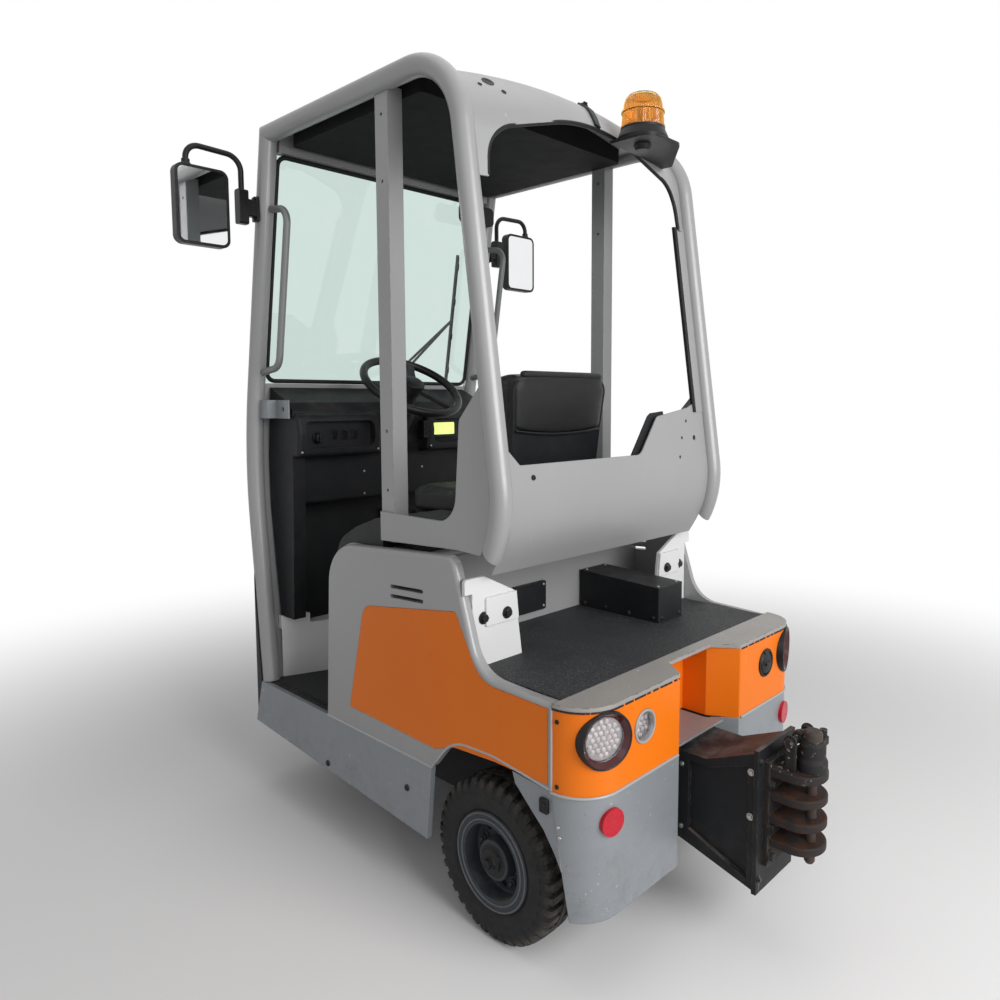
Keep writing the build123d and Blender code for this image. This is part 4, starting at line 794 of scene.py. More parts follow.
RIM = Paint(
    "rim_paint", "rim_paint", (0.040, 0.047, 0.056), 0.5, 0.0, 0.0, (0.25, 0.24, 0.22),
    dust=0.4, specular=0.22,
)
WORN_RIM = Paint(
    "worn_rim", "rim_paint", (0.13, 0.14, 0.155), 0.45, 0.2, 0.0, wear=0.8, dust=0.2
)
CASE = Paint("battery_case", "battery_case", (0.05, 0.055, 0.06), 0.5)
BRIGHT = Paint("bright_steel", "bright_steel", (0.24, 0.25, 0.245), 0.42, 0.2, 0.0, dust=0.05)
# Lighter than SILVER: on the panel and cover beads this is a painted highlight on the rounded
# edges; the left turn lamp's bezel shares it.
BEAD = Paint("bead_trim", "bright_steel", (0.42, 0.42, 0.42), 0.4, 0.2, 0.0, dust=0.05)
CAST = Cast("cast_coupler", "cast_coupler", (0.020, 0.020, 0.021), rusted=0.9)
PIN = Cast("pin_steel", "pin_steel", (0.06, 0.050, 0.044), rusted=0.8)
BLACK = Moulding("black_plastic", "black_plastic", (0.010, 0.011, 0.013), 0.5, dust=0.1)
FINE_BLACK = Moulding(
    "mirror_plastic", "mirror_plastic", (0.009, 0.009, 0.010), 0.38, 1500, 0.00006, 0.12
)
LINER = Moulding(
    "headliner_cloth", "headliner_cloth", (0.010, 0.010, 0.011), 0.8, 500, 0.0004, 0.0
)
MAT = Mat("mat_rubber", "mat_rubber")
VINYL = Vinyl("seat_vinyl", "seat_vinyl", (0.008, 0.008, 0.009))
TREAD = Tread("tyre_rubber", "tyre_rubber")
GLASS = Clear("screen_glass", "screen_glass", (0.62, 0.74, 0.70), 0.01)
MIRROR = Shiny("mirror_glass", "mirror_glass", (0.86, 0.87, 0.88), 0.02)
AMBER = Clear("amber_lens", "amber_lens", (0.90, 0.50, 0.05), 0.06)
CLEAR_LENS = Clear("lamp_lens", "lamp_lens", (0.96, 0.97, 0.98), 0.03)
RED = Prismatic("red_lens", "red_lens", (0.80, 0.004, 0.030))
PLATED = Steel("plated_steel", "pin_steel", (0.42, 0.41, 0.39), 0.4)
CHROME = Shiny("lamp_bowl", "lamp_lens", (0.40, 0.35, 0.35), 0.3, 0.2)
MAROON = Shiny("lamp_rim", "lamp_lens", (0.055, 0.004, 0.006), 0.15, 0.0)
LED = Shiny("lamp_cell", "lamp_lens", (0.60, 0.54, 0.535), 0.3, 0.1)
SCREEN = Lit("display_screen", "mirror_plastic")

SLOT_FINISHES: Dict[str, Finish] = {
    finish.slot: finish
    for finish in (
        SILVER, GREY, PALE, ORANGE, DARK, RIM, CASE, BRIGHT, CAST, PIN, BLACK, FINE_BLACK, LINER,
        MAT, VINYL, TREAD, GLASS, MIRROR, AMBER, CLEAR_LENS, RED,
    )
}


def scaled(rows: Sequence[Row], width: float, height: float = 1.0) -> List[Row]:
    """Rows of (radius, height) that are given as shares of two sizes."""
    return [(width * reach, height * rise) for reach, rise in rows]


class Shape:
    """Mesh under construction, to which solids are added one after another."""

    # Rows of (radius, height) as shares of the head's radius.
    WASHER: Rows = ((0, 0), (1.5, 0), (1.5, 0.3), (0, 0.3))
    HEAD_H = 0.75
    HEAD_SIDES = 6
    SCREW: Rows = ((0, 0), (1, 0), (1, 0.25), (0.75, 0.55), (0.4, 0.62), (0.36, 0.3), (0, 0.3))

    def __init__(self) -> None:
        """Starts an empty mesh."""
        self.mesh = bmesh.new()

    def rings(self, rings: List[List[Vector]]) -> None:
        """Skins a list of closed rings.

        Args:
            rings: Rings of points; a ring of one point is a pole.
        """
        made = [[self.mesh.verts.new(p) for p in ring] for ring in rings]
        for low, high in zip(made, made[1:]):
            count = max(len(low), len(high))
            for i in range(count if count > 1 else 0):
                j = (i + 1) % count
                corners = [low[i % len(low)], low[j % len(low)]]
                corners += [high[j % len(high)], high[i % len(high)]]
                self.mesh.faces.new(list(dict.fromkeys(corners)))

    def loft(self, rings: List[List[Vector]]) -> "Shape":
        """Adds a solid through rings, each end closed to its middle, and returns this shape."""
        first, last = (sum(ring, Vector()) / len(ring) for ring in (rings[0], rings[-1]))
        self.rings([[first], *rings, [last]])
        return self

    def lathe(
        self, rows: Sequence[Row], stand: Matrix, steps: int = 40, ribs: int = 0, rib: float = 0.0
    ) -> "Shape":
        """Adds a turned solid.

        Args:
            rows: Rows of (radius, height) along the stand's z axis.
            stand: Frame that it stands in.
            steps: Points round it.
            ribs: Ribs round it.
            rib: Height of each rib.

        Returns:
            This shape.
        """
        rings = []
        for r, h in rows:
            turns = [FULL_TURN * i / steps for i in range(steps)] if r > TINY else [0.0]
            ring = []
            for turn in turns:
                reach = r + rib * math.cos(ribs * turn) if ribs and len(turns) > 1 else r
                ring.append(stand @ Vector((reach * math.cos(turn), reach * math.sin(turn), h)))
            rings.append(ring)
        self.rings(rings)
        return self

    def prism(self, outline: Sequence[Row], stand: Matrix, depth: float) -> "Shape":
        """Adds a flat outline with depth.

        Args:
            outline: Corners in the stand's xy plane.
            stand: Frame that it stands in.
            depth: Height along the stand's z axis.

        Returns:
            This shape.
        """
        low = [self.mesh.verts.new(stand @ Vector((x, y, 0))) for x, y in outline]
        high = [self.mesh.verts.new(stand @ Vector((x, y, depth))) for x, y in outline]
        self.mesh.faces.new(list(reversed(low)))
        self.mesh.faces.new(high)
        for i in range(len(low)):
            j = (i + 1) % len(low)
            self.mesh.faces.new([low[i], low[j], high[j], high[i]])
        return self

    def slab(
        self, width: float, height: float, depth: float, stand: Matrix, r: float
    ) -> "Shape":
        """Adds a plate with round corners, its middle on the stand, and returns this shape."""
        return self.prism(rounded(width, height, r), stand, depth)

    def tube(self, points: Sequence[Vector], r: float, sides: int = 12) -> "Shape":
        """Adds a round bar along points.

        Args:
            points: Its middle line.
            r: Its radius.
            sides: Points round it.

        Returns:
            This shape.
        """
        rings = [[points[0]]]
        side = None
        for i, point in enumerate(points):
            ahead = (points[min(i + 1, len(points) - 1)] - points[max(i - 1, 0)]).normalized()
            side = ahead.orthogonal() if side is None else side - ahead * side.dot(ahead)
            side.normalize()
            other = ahead.cross(side)
            turns = [FULL_TURN * k / sides for k in range(sides)]
            rings.append([point + (side * math.cos(t) + other * math.sin(t)) * r for t in turns])
        rings.append([points[-1]])
        self.rings(rings)
        return self

    def bolt(self, stand: Matrix, r: float) -> "Shape":
        """Adds a hexagon bolt head on its washer.

        Args:
            stand: Frame on the surface.
            r: Half the size across the head's corners.

        Returns:
            This shape.
        """
        washer = scaled(self.WASHER, r, r)
        self.lathe(washer, stand, steps=20)
        turns = [i * FULL_TURN / self.HEAD_SIDES for i in range(self.HEAD_SIDES)]
        head = [(r * math.cos(turn), r * math.sin(turn)) for turn in turns]
        return self.prism(head, raised(stand, washer[-1][1]), self.HEAD_H * r)

    def screw(self, stand: Matrix, r: float) -> "Shape":
        """Adds a round screw head of a radius on a surface, and returns this shape."""
        return self.lathe(scaled(self.SCREW, r, r), stand, steps=16)

    def done(
        self, name: str, finish: Finish, body: Body = Body.CHASSIS, **dressing: object
    ) -> bpy.types.Object:
        """Makes the piece and rides it on its body.

        Args:
            name: The piece's name.
            finish: Its finish.
            body: Body that it rides on.
            dressing: Bevel, smooth, sharp and replaces, as ride() takes them.

        Returns:
            The object.
        """
        bmesh.ops.remove_doubles(self.mesh, verts=self.mesh.verts, dist=TINY)
        bmesh.ops.recalc_face_normals(self.mesh, faces=self.mesh.faces)
        data = bpy.data.meshes.new(name)
        self.mesh.to_mesh(data)
        self.mesh.free()
        return ride(bpy.data.objects.new(name, data), finish, body, **dressing)


def raised(stand: Matrix, height: float) -> Matrix:
    """A frame moved along its own z axis."""
    return stand @ Matrix.Translation((0, 0, height))


def filleted(rows: Sequence[Sequence[float]], steps: int = 8) -> List[Row]:
    """Open line with its corners rounded.

    Args:
        rows: Rows of (u, v, corner radius).
        steps: Points on each rounded corner.

    Returns:
        The points of the line.
    """
    points = [Vector(row[:2]) for row in rows]
    made = [tuple(points[0])]
    for before, corner, after, row in zip(points, points[1:], points[2:], rows[1:]):
        back, ahead = (before - corner).normalized(), (after - corner).normalized()
        half = back.angle(ahead) / 2
        reach = row[2] / math.tan(half)
        middle = corner + (back + ahead).normalized() * (row[2] / math.sin(half))
        if not row[2]:
            made.append(tuple(corner))
            continue
        start, end = corner + back * reach - middle, corner + ahead * reach - middle
        first = math.atan2(start.y, start.x)
        sweep = (math.atan2(end.y, end.x) - first + math.pi) % FULL_TURN - math.pi
        for i in range(steps + 1):
            turn = first + sweep * i / steps
            made.append(tuple(middle + Vector((math.cos(turn), math.sin(turn))) * row[2]))
    return made + [tuple(points[-1])]


class Skin:
    """Surface of a node that small pieces are set on."""

    def __init__(self, node: str) -> None:
        """Takes up a node's surface.

        Args:
            node: The node's name.
        """
        data = frame["nodes"][node].data
        self.node = node
        self.tree = BVHTree.FromPolygons(
            [v.co.copy() for v in data.vertices], [tuple(p.vertices) for p in data.polygons]
        )

    def stand(self, start: Vector, ahead: Sequence[float], turn: float = 0.0) -> Matrix:
        """Frame where a straight line meets the surface.

        Args:
            start: Where the line starts.
            ahead: Its direction.
            turn: Turn of the frame about its normal, in radians.

        Returns:
            The frame, its z axis pointing out of the surface.
        """
        spot, normal, _, _ = self.tree.ray_cast(start, Vector(ahead))
        if spot is None:
            raise ValueError(f"no surface of {self.node} ahead of {tuple(start)}")
        if normal.dot(Vector(ahead)) > 0:
            normal.negate()
        return facing(spot, normal) @ Matrix.Rotation(turn, 4, "Z")


def rounded(width: float, height: float, r: float, steps: int = 5) -> List[Row]:
    """Rectangle with round corners about the origin.

    Args:
        width: Its width.
        height: Its height.
        r: Corner radius.
        steps: Points on each corner.

    Returns:
        Its corners.
    """
    points = []
    for quarter, (sx, sy) in enumerate(((1, 1), (-1, 1), (-1, -1), (1, -1))):
        x, y = sx * (width / 2 - r), sy * (height / 2 - r)
        for i in range(steps + 1):
            turn = (quarter + i / steps) * math.pi / 2
            points.append((x + r * math.cos(turn), y + r * math.sin(turn)))
    return points


def ride(
    obj: bpy.types.Object,
    finish: Finish,
    body: Body,
    bevel: float = 0.0,
    smooth: int = 0,
    sharp: float = 35.0,
    replaces: Sequence[str] = (),
) -> bpy.types.Object:
    """Dresses a new piece and rides it on its body.

    Args:
        obj: The piece.
        finish: Its finish.
        body: Body that it rides on.
        bevel: Width of a rounded edge.
        smooth: Levels of subdivision.
        sharp: Angle in degrees above which an edge stays sharp.
        replaces: Nodes that it stands for.

    Returns:
        The piece.
    """
    if obj.name not in bpy.context.scene.collection.objects:
        bpy.context.scene.collection.objects.link(obj)
    obj.data.materials.clear()
    obj.data.materials.append(finish.material())
    obj.data.polygons.foreach_set("use_smooth", [True] * len(obj.data.polygons))
    if bevel:
        rounding = obj.modifiers.new("rounding", "BEVEL")
        rounding.width = bevel
        rounding.segments = 2
        rounding.limit_method = "ANGLE"
        rounding.harden_normals = True
    if smooth:
        levels = obj.modifiers.new("smooth", "SUBSURF")
        levels.levels = levels.render_levels = smooth
    else:
        obj.data.set_sharp_from_angle(angle=math.radians(sharp))
    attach(obj, body.value)
    if replaces:
        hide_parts(*replaces)
    faces = len(obj.data.polygons)
    log.info("%s: %s on %s, %d faces", obj.name, finish.name, body.value, faces)
    return obj


@dataclass
class Paintwork:
    """Finishes of the nodes that keep their own shape."""

    own: Dict[str, Finish] = field(default_factory=lambda: {"deck_plate": DECK})

    def dress(self) -> None:
        """Gives every node the finish of its slot, or its own one."""
        for row in frame["record"]["subparts"]:
            node = frame["nodes"][row["node"]]
            node.data.materials.clear()
            finish = self.own.get(row["node"], SLOT_FINISHES[row["material_slot"]])
            node.data.materials.append(finish.material())
            log.info("%s: %s", row["node"], finish.name)


@dataclass
class Wheel:
    """One wheel: a tyre with block tread, and the bolts, valve, hub and beads of its rim."""

    name: str
    tyre: str
    body: Body
    outward: int
    hubbed: bool = True
    outer_r: float = 0.205
    tyre_half_w: float = 0.055
    lip_r: float = 0.1243
    pitches: int = 38
    groove: float = 0.009
    stations: Rows = ((0.0, 0), (0.52, 0), (0.58, 1), (0.94, 1))
    skew: float = 0.25
    half_shift: float = 0.5
    middle_rib: float = 0.0122
    crown_half_w: float = 0.002
    crown_drop: float = 0.0002
    disc_y: float = 0.0065
    bolts: int = 5
    bolt_r: float = 0.0105
    bolt_ring_r: float = 0.068
    first_bolt: float = 0.25
    stud: Rows = ((0, 0), (0.006, 0), (0.006, 0.018), (0.004, 0.0205), (0, 0.0205))
    valve_at: Row = (-0.085, 0.02)
    valve_run: Spot = (-0.004, 0.034, 0.002)
    valve_r: float = 0.0045
    valve_cap: Row = (0.75, 1.1)
    valve_cap_r: float = 0.0055
    hub_rows: Rows = (
        (0, 0.020), (0.009, 0.020), (0.011, 0.018), (0.011, 0.012), (0.024, 0.011),
        (0.028, 0.008), (0.029, 0.003), (0.040, 0.002), (0.042, -0.001), (0, -0.001),
    )
    hub_nut: Row = (0.013, 0.011)
    bead_rings: Row = (0.1195, 0.1045)
    bead_r: float = 0.0022
    bead_sides: int = 8
    clear_of_wheel: float = 0.3

    def profile(self) -> List[Spot]:
        """Outline of one half of the tyre.

        Returns:
            Rows of (offset from the middle, radius, cut), where a cut of 1 is the groove beside
            the middle rib, 0 is open to the cross grooves and -1 is the plain wall.
        """
        w, r, lip = self.tyre_half_w, self.outer_r, self.lip_r
        return [
            (0.002, r, 0.0),
            (0.007, r, 0.0),
            (0.0075, r, 1.0),
            (0.012, r, 1.0),
            (0.0125, r, 0.0),
            (0.60 * w, r - 0.0008, 0.0),
            (0.80 * w, r - 0.003, 0.0),
            (0.90 * w, r - 0.008, 0.0),
            (0.965 * w, r - 0.018, 0.0),
            (0.99 * w, r - 0.030, 0.0),
            (1.0 * w, r - 0.036, -1.0),
            (1.0 * w, r - 0.050, -1.0),
            (0.985 * w, lip + 0.020, -1.0),
            (0.99 * w, lip + 0.016, -1.0),
            (0.94 * w, lip + 0.006, -1.0),
            (0.86 * w, lip, -1.0),
            (0.84 * w, lip - 0.018, -1.0),
        ]

    def build(self) -> None:
        """Builds the tyre with its grooves and the rim's fittings."""
        low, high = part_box(self.tyre)
        middle = (low + high) / 2
        shape = Shape()
        for half in (1, -1):
            shape.rings([self.ring(half, *row) for row in self.profile()])
        self.crown(shape)
        name = f"{self.name}_tread_tyre"
        obj = shape.done(name, TREAD, self.body, sharp=30, replaces=[self.tyre])
        obj.matrix_world = Matrix.Translation(middle)
        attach(obj, self.body.value)
        self.fittings(middle)
        if self.hubbed:
            self.hub(middle)
            self.beads(middle)

    def ring(self, half: int, across: float, r: float, cut: float) -> List[Vector]:
        """One ring of the tread, with its cross grooves.

        Args:
            half: 1 for the left half of the tyre, -1 for the right.
            across: Offset from the tyre's middle.
            r: Radius.
            cut: 1 in the long groove, 0 where cross grooves are open, -1 on the wall.

        Returns:
            The ring's points about the wheel's middle.
        """
        shift = 0.0 if half > 0 else self.half_shift
        skew = self.skew * min(1.0, across / self.tyre_half_w)
        ring = []
        for i in range(self.pitches):
            for share, open_groove in self.stations:
                turn = FULL_TURN / self.pitches * (i + share + shift + skew)
                notched = open_groove and across > self.middle_rib and cut >= 0.0
                reach = r - (self.groove if cut > 0 or notched else 0.0)
                ring.append(Vector((reach * math.cos(turn), half * across, reach * math.sin(turn))))
        return ring

    def crown(self, shape: Shape) -> None:
        """Closes the tread between its two halves.

        Args:
            shape: The tyre's mesh.
        """
        steps = self.pitches * len(self.stations)
        turns = [FULL_TURN * i / steps for i in range(steps)]
        r = self.outer_r - self.crown_drop
        shape.rings([
            [Vector((r * math.cos(turn), across, r * math.sin(turn))) for turn in turns]
            for across in (-self.crown_half_w, self.crown_half_w)
        ])

    def fittings(self, middle: Vector) -> None:
        """Adds wheel bolts and a valve.

        Args:
            middle: The wheel's middle.
        """
        disc = middle + Vector((0, self.disc_y * self.outward, 0))
        shape = Shape()
        for i in range(self.bolts):
            turn = FULL_TURN * (i + self.first_bolt) / self.bolts
            spot = disc + Vector((math.cos(turn), 0, math.sin(turn))) * self.bolt_ring_r
            stand = facing(spot, (0, self.outward, 0))
            shape.bolt(stand, self.bolt_r)
            shape.lathe(self.stud, stand, steps=14)
        shape.done(f"{self.name}_wheel_bolts", RIM, self.body, bevel=0.0006)
        (x, z), (ahead, out, up) = self.valve_at, self.valve_run
        root = disc + Vector((x, 0, z))
        run = Vector((ahead, out * self.outward, up))
        valve = Shape().tube([root, root + run * 0.5, root + run], self.valve_r)
        valve.tube([root + run * share for share in self.valve_cap], self.valve_cap_r)
        valve.done(f"{self.name}_valve", PLATED, self.body)

    def on_rim(self, middle: Vector, reach: float) -> Matrix:
        """Frame on the wheel's axis, level with the rim's outer side.

        Args:
            middle: The wheel's middle.
            reach: Radius at which the rim's side is taken.

        Returns:
            The frame, its z axis pointing out of the wheel.
        """
        skin = Skin(self.tyre.replace("tyre", "rim"))
        start = middle + Vector((0, self.clear_of_wheel * self.outward, reach))
        side = skin.stand(start, (0, -self.outward, 0)).translation.y
        return facing(Vector((middle.x, side, middle.z)), (0, self.outward, 0))

    def hub(self, middle: Vector) -> None:
        """Adds the stepped hub with its nut.

        Args:
            middle: The wheel's middle.
        """
        stand = self.on_rim(middle, 0.0)
        nut_r, nut_z = self.hub_nut
        hub = Shape().lathe(self.hub_rows, stand, steps=40)
        hub.bolt(raised(stand, nut_z), nut_r)
        hub.done(f"{self.name}_hub", DARK, self.body)

    def beads(self, middle: Vector) -> None:
        """Adds the worn beads of the rim.

        Args:
            middle: The wheel's middle.
        """
        beads = Shape()
        turns = [FULL_TURN * i / self.bead_sides for i in range(self.bead_sides + 1)]
        for reach in self.bead_rings:
            rows = [(reach + self.bead_r * math.cos(t), self.bead_r * math.sin(t)) for t in turns]
            beads.lathe(rows, self.on_rim(middle, reach), steps=72)
        beads.done(f"{self.name}_rim_beads", WORN_RIM, self.body)


class LampKind(Enum):
    """Kinds of tail lamp."""

    BRAKE = "brake"
    TURN = "turn"


@dataclass(frozen=True)
class TailLamp:
    """Place and radius of a round tail lamp, and how far its lens stands out."""

    kind: LampKind
    y: float
    z: float
    r: float
    lift: float


@dataclass
class Lamps:
    """Lamps of tail and nose, with the lid of the trailer socket.

    Rows are (radius, height above the lamp's floor), and those named shares have radii as shares
    of the lamp's own.
    """

    skin_x: float = -0.328
    corner_r: float = 0.104
    half_w: float = 0.500
    sunk: float = 0.016
    tail: Tuple[TailLamp, ...] = (
        TailLamp(LampKind.BRAKE, 0.428, 0.599, 0.0497, 0.0),
        TailLamp(LampKind.TURN, 0.294, 0.592, 0.0335, 0.006),
    )
    brake_ring: Rows = (
        (0.0, -0.002), (0.0500, -0.002), (0.0500, 0.006), (0.0615, 0.0190), (0.0625, 0.0200),
        (0.0650, 0.0200), (0.0660, 0.0185), (0.0660, -0.017), (0.0, -0.017),
    )
    brake_cone: Rows = (
        (0.0612, 0.0190), (0.0498, 0.0064), (0.0498, 0.0058), (0.0612, 0.0184), (0.0612, 0.0190),
    )
    turn_ring: Rows = (
        (0.0, -0.002), (0.0338, -0.002), (0.0338, 0.0140), (0.0345, 0.0195), (0.0385, 0.0200),
        (0.0400, 0.0185), (0.0400, -0.017), (0.0, -0.017),
    )
    bowl_shares: Rows = ((0, -0.0015), (1, -0.0015), (1, 0.001), (0, 0.001))
    lens_shares: Rows = (
        (0, 0.011), (0.6, 0.0104), (1, 0.0085), (1, 0.0065), (0.6, 0.0084), (0, 0.009),
    )
    lens_gap: float = 0.0004
    cell: Rows = ((0, 0.0045), (0.003, 0.004), (0.0055, 0.002), (0.006, 0.0), (0, 0.0))
    cell_pitch: float = 0.0145
    cell_row: float = 0.87
    cell_z: float = 0.001
    cell_margin: float = 0.008
    cell_count: int = 4
    lid_shares: Rows = ((0, 0.024), (0.5, 0.0235), (0.85, 0.021))
    lid_wall: Row = (0.017, 0.001)
    lid_gap: float = 0.0006
    lid_grip: Spot = (0.9, 0.010, 0.007)
    lid_grip_z: float = 0.0215
    lid_hinge_z: float = 0.020
    lid_hinge_r: float = 0.004
    head_at: Spot = (1.178, 0.330, 0.720)
    head_ring: Rows = (
        (0.0, -0.010), (0.0525, -0.010), (0.0525, 0.0120), (0.0560, 0.0175), (0.0600, 0.0180),
        (0.0620, 0.0165), (0.0620, -0.019), (0.0, -0.019),
    )
    head_lens: Rows = (
        (0, 0.018), (0.03, 0.0165), (0.0515, 0.010), (0.0515, 0.0), (0.03, 0.0135), (0, 0.015),
    )
    head_cup: Rows = ((0.012, -0.004), (0.0515, 0.007), (0.0515, 0.004), (0.012, -0.0075))
    head_bulb: Rows = (
        (0, 0.008), (0.006, 0.005), (0.007, -0.004), (0.012, -0.006), (0, -0.006),
    )

    def stand(self, y: float, z: float, out: float) -> Matrix:
        """Frame on the tail's skin.

        Args:
            y: Distance to the left.
            z: Height.
            out: Distance out of the skin.

        Returns:
            The frame, its z axis pointing out.
        """
        side = 1 if y >= 0 else -1
        lean = max(0.0, abs(y) - (self.half_w - self.corner_r)) / self.corner_r
        along = math.sqrt(1 - lean * lean)
        normal = Vector((-along, side * lean, 0))
        spot = place(self.skin_x + self.corner_r * (1 - along), y, z)
        return facing(spot + normal * out, normal)

    def build(self) -> None:
        """Builds all lamps, with their covers and rims as one piece each."""
        covers, rims = Shape(), Shape()
        for side, word in SIDES:
            for lamp in self.tail:
                self.tail_lamp(lamp, side, word, covers, rims)
        for side, word in SIDES:
            self.head_lamp(side, word, covers, rims)
        covers.done("lamp_covers", CLEAR_LENS, replaces=["lamp_lenses"])
        rims.done("lamp_rims", FINE_BLACK, replaces=["lamp_rings"])

    def tail_lamp(self, lamp: TailLamp, side: int, word: str, covers: Shape, rims: Shape) -> None:
        """Builds one tail lamp, or the socket's lid in place of the right small one.

        Args:
            lamp: Its place and kind.
            side: 1 for left, -1 for right.
            word: The side's name.
            covers: Mesh of all lenses.
            rims: Mesh of all black rims.
        """
        stand = self.stand(side * lamp.y, lamp.z, -self.sunk)
        kind, r = lamp.kind.value, lamp.r
        if lamp.kind is LampKind.BRAKE:
            rims.lathe(self.brake_ring, stand, steps=64)
            cone = Shape().lathe(self.brake_cone, stand, steps=64)
            cone.done(f"brake_lamp_cone_{word}", MAROON)
        elif side > 0:
            Shape().lathe(self.turn_ring, stand, steps=56).done("turn_lamp_bezel", BEAD)
        else:
            rims.lathe(self.turn_ring, stand, steps=56)
            self.socket(stand, r)
            return
        bowl = Shape().lathe(scaled(self.bowl_shares, r), stand)
        bowl.done(f"{kind}_lamp_bowl_{word}", CHROME)
        self.cells(stand, r).done(f"{kind}_lamp_cells_{word}", LED)
        lens = [
            (min(reach, r - self.lens_gap), height + lamp.lift)
            for reach, height in scaled(self.lens_shares, r)
        ]
        covers.lathe(lens, stand, steps=48)

    def head_lamp(self, side: int, word: str, covers: Shape, rims: Shape) -> None:
        """Builds one head lamp.

        Args:
            side: 1 for left, -1 for right.
            word: The side's name.
            covers: Mesh of all lenses.
            rims: Mesh of all black rims.
        """
        x, y, z = self.head_at
        stand = facing(place(x, side * y, z), FORWARD)
        covers.lathe(self.head_lens, stand, steps=48)
        rims.lathe(self.head_ring, stand, steps=64)
        Shape().lathe(self.head_cup, stand, steps=48).done(f"head_lamp_cup_{word}", CHROME)
        Shape().lathe(self.head_bulb, stand, steps=20).done(f"head_lamp_bulb_{word}", LED)

    def socket(self, stand: Matrix, r: float) -> None:
        """Builds the black lid that takes the right small lamp's place.

        Args:
            stand: Frame on its floor.
            r: Its radius.
        """
        wall = [(r - self.lid_gap, height) for height in self.lid_wall]
        rows = scaled(self.lid_shares, r) + wall + [(0, wall[-1][1])]
        lid = Shape().lathe(rows, stand, steps=48)
        width, height, depth = self.lid_grip
        lid.slab(width * r, height, depth, raised(stand, self.lid_grip_z), r=0.003)
        hinge = [stand @ Vector((end * r, r, self.lid_hinge_z)) for end in (-0.5, 0.5)]
        lid.tube(hinge, self.lid_hinge_r)
        lid.done("trailer_socket_lid", FINE_BLACK, bevel=0.001)

    def cells(self, stand: Matrix, r: float) -> Shape:
        """Small domes in a honeycomb.

        Args:
            stand: Frame on the lamp's floor.
            r: Radius of the lamp.

        Returns:
            The mesh.
        """
        shape = Shape()
        grid = range(-self.cell_count, self.cell_count + 1)
        for row in grid:
            for column in grid:
                u = (column + 0.5 * (row % 2)) * self.cell_pitch
                v = row * self.cell_pitch * self.cell_row
                if math.hypot(u, v) < r - self.cell_margin:
                    spot = stand @ Matrix.Translation((u, v, self.cell_z))
                    shape.lathe(self.cell, spot, steps=12)
        return shape


@dataclass
class Beacon:
    """Ribbed amber dome over its black base, with the lamp within."""

    r: float = 0.061
    ribs: int = 60
    rib: float = 0.0005
    steps_a_rib: int = 4
    wall: float = 0.004
    ridge: float = 0.044
    lamp_r: float = 0.016
    lamp_shares: Rows = (
        (0, 0.062), (0.75, 0.061), (1, 0.056), (1, 0.014), (1.5, 0.012), (2, 0.0), (0, 0),
    )

    def build(self) -> None:
        """Builds the dome in two steps of ribs, and the lamp."""
        low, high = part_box("beacon_dome")
        stand = Matrix.Translation(((low.x + high.x) / 2, (low.y + high.y) / 2, low.z))
        r, top, ridge, wall = self.r, high.z - low.z, self.ridge, self.wall
        outer = [
            (r, 0.0), (r, 0.006), (r - 0.002, 0.007), (r - 0.004, ridge - 0.004),
            (r - 0.001, ridge - 0.003), (r - 0.001, ridge + 0.002), (r - 0.006, ridge + 0.004),
            (r - 0.008, top - 0.026), (r - 0.012, top - 0.012), (r - 0.021, top - 0.003),
            (r - 0.036, top - 0.0004), (0, top),
        ]
        inner = [
            (0, top - wall), (r - 0.037, top - wall), (r - 0.024, top - 0.008),
            (r - 0.016, top - 0.016), (r - 0.012, top - 0.028), (r - 0.010, ridge), (r - wall, 0.0),
        ]
        rows = outer + inner + [outer[0]]
        dome = Shape().lathe(rows, stand, self.steps_a_rib * self.ribs, self.ribs, self.rib)
        dome.done("beacon_amber_dome", AMBER, replaces=["beacon_dome"])
        lamp = Shape().lathe(scaled(self.lamp_shares, self.lamp_r), stand, steps=32)
        lamp.done("beacon_lamp", LED)


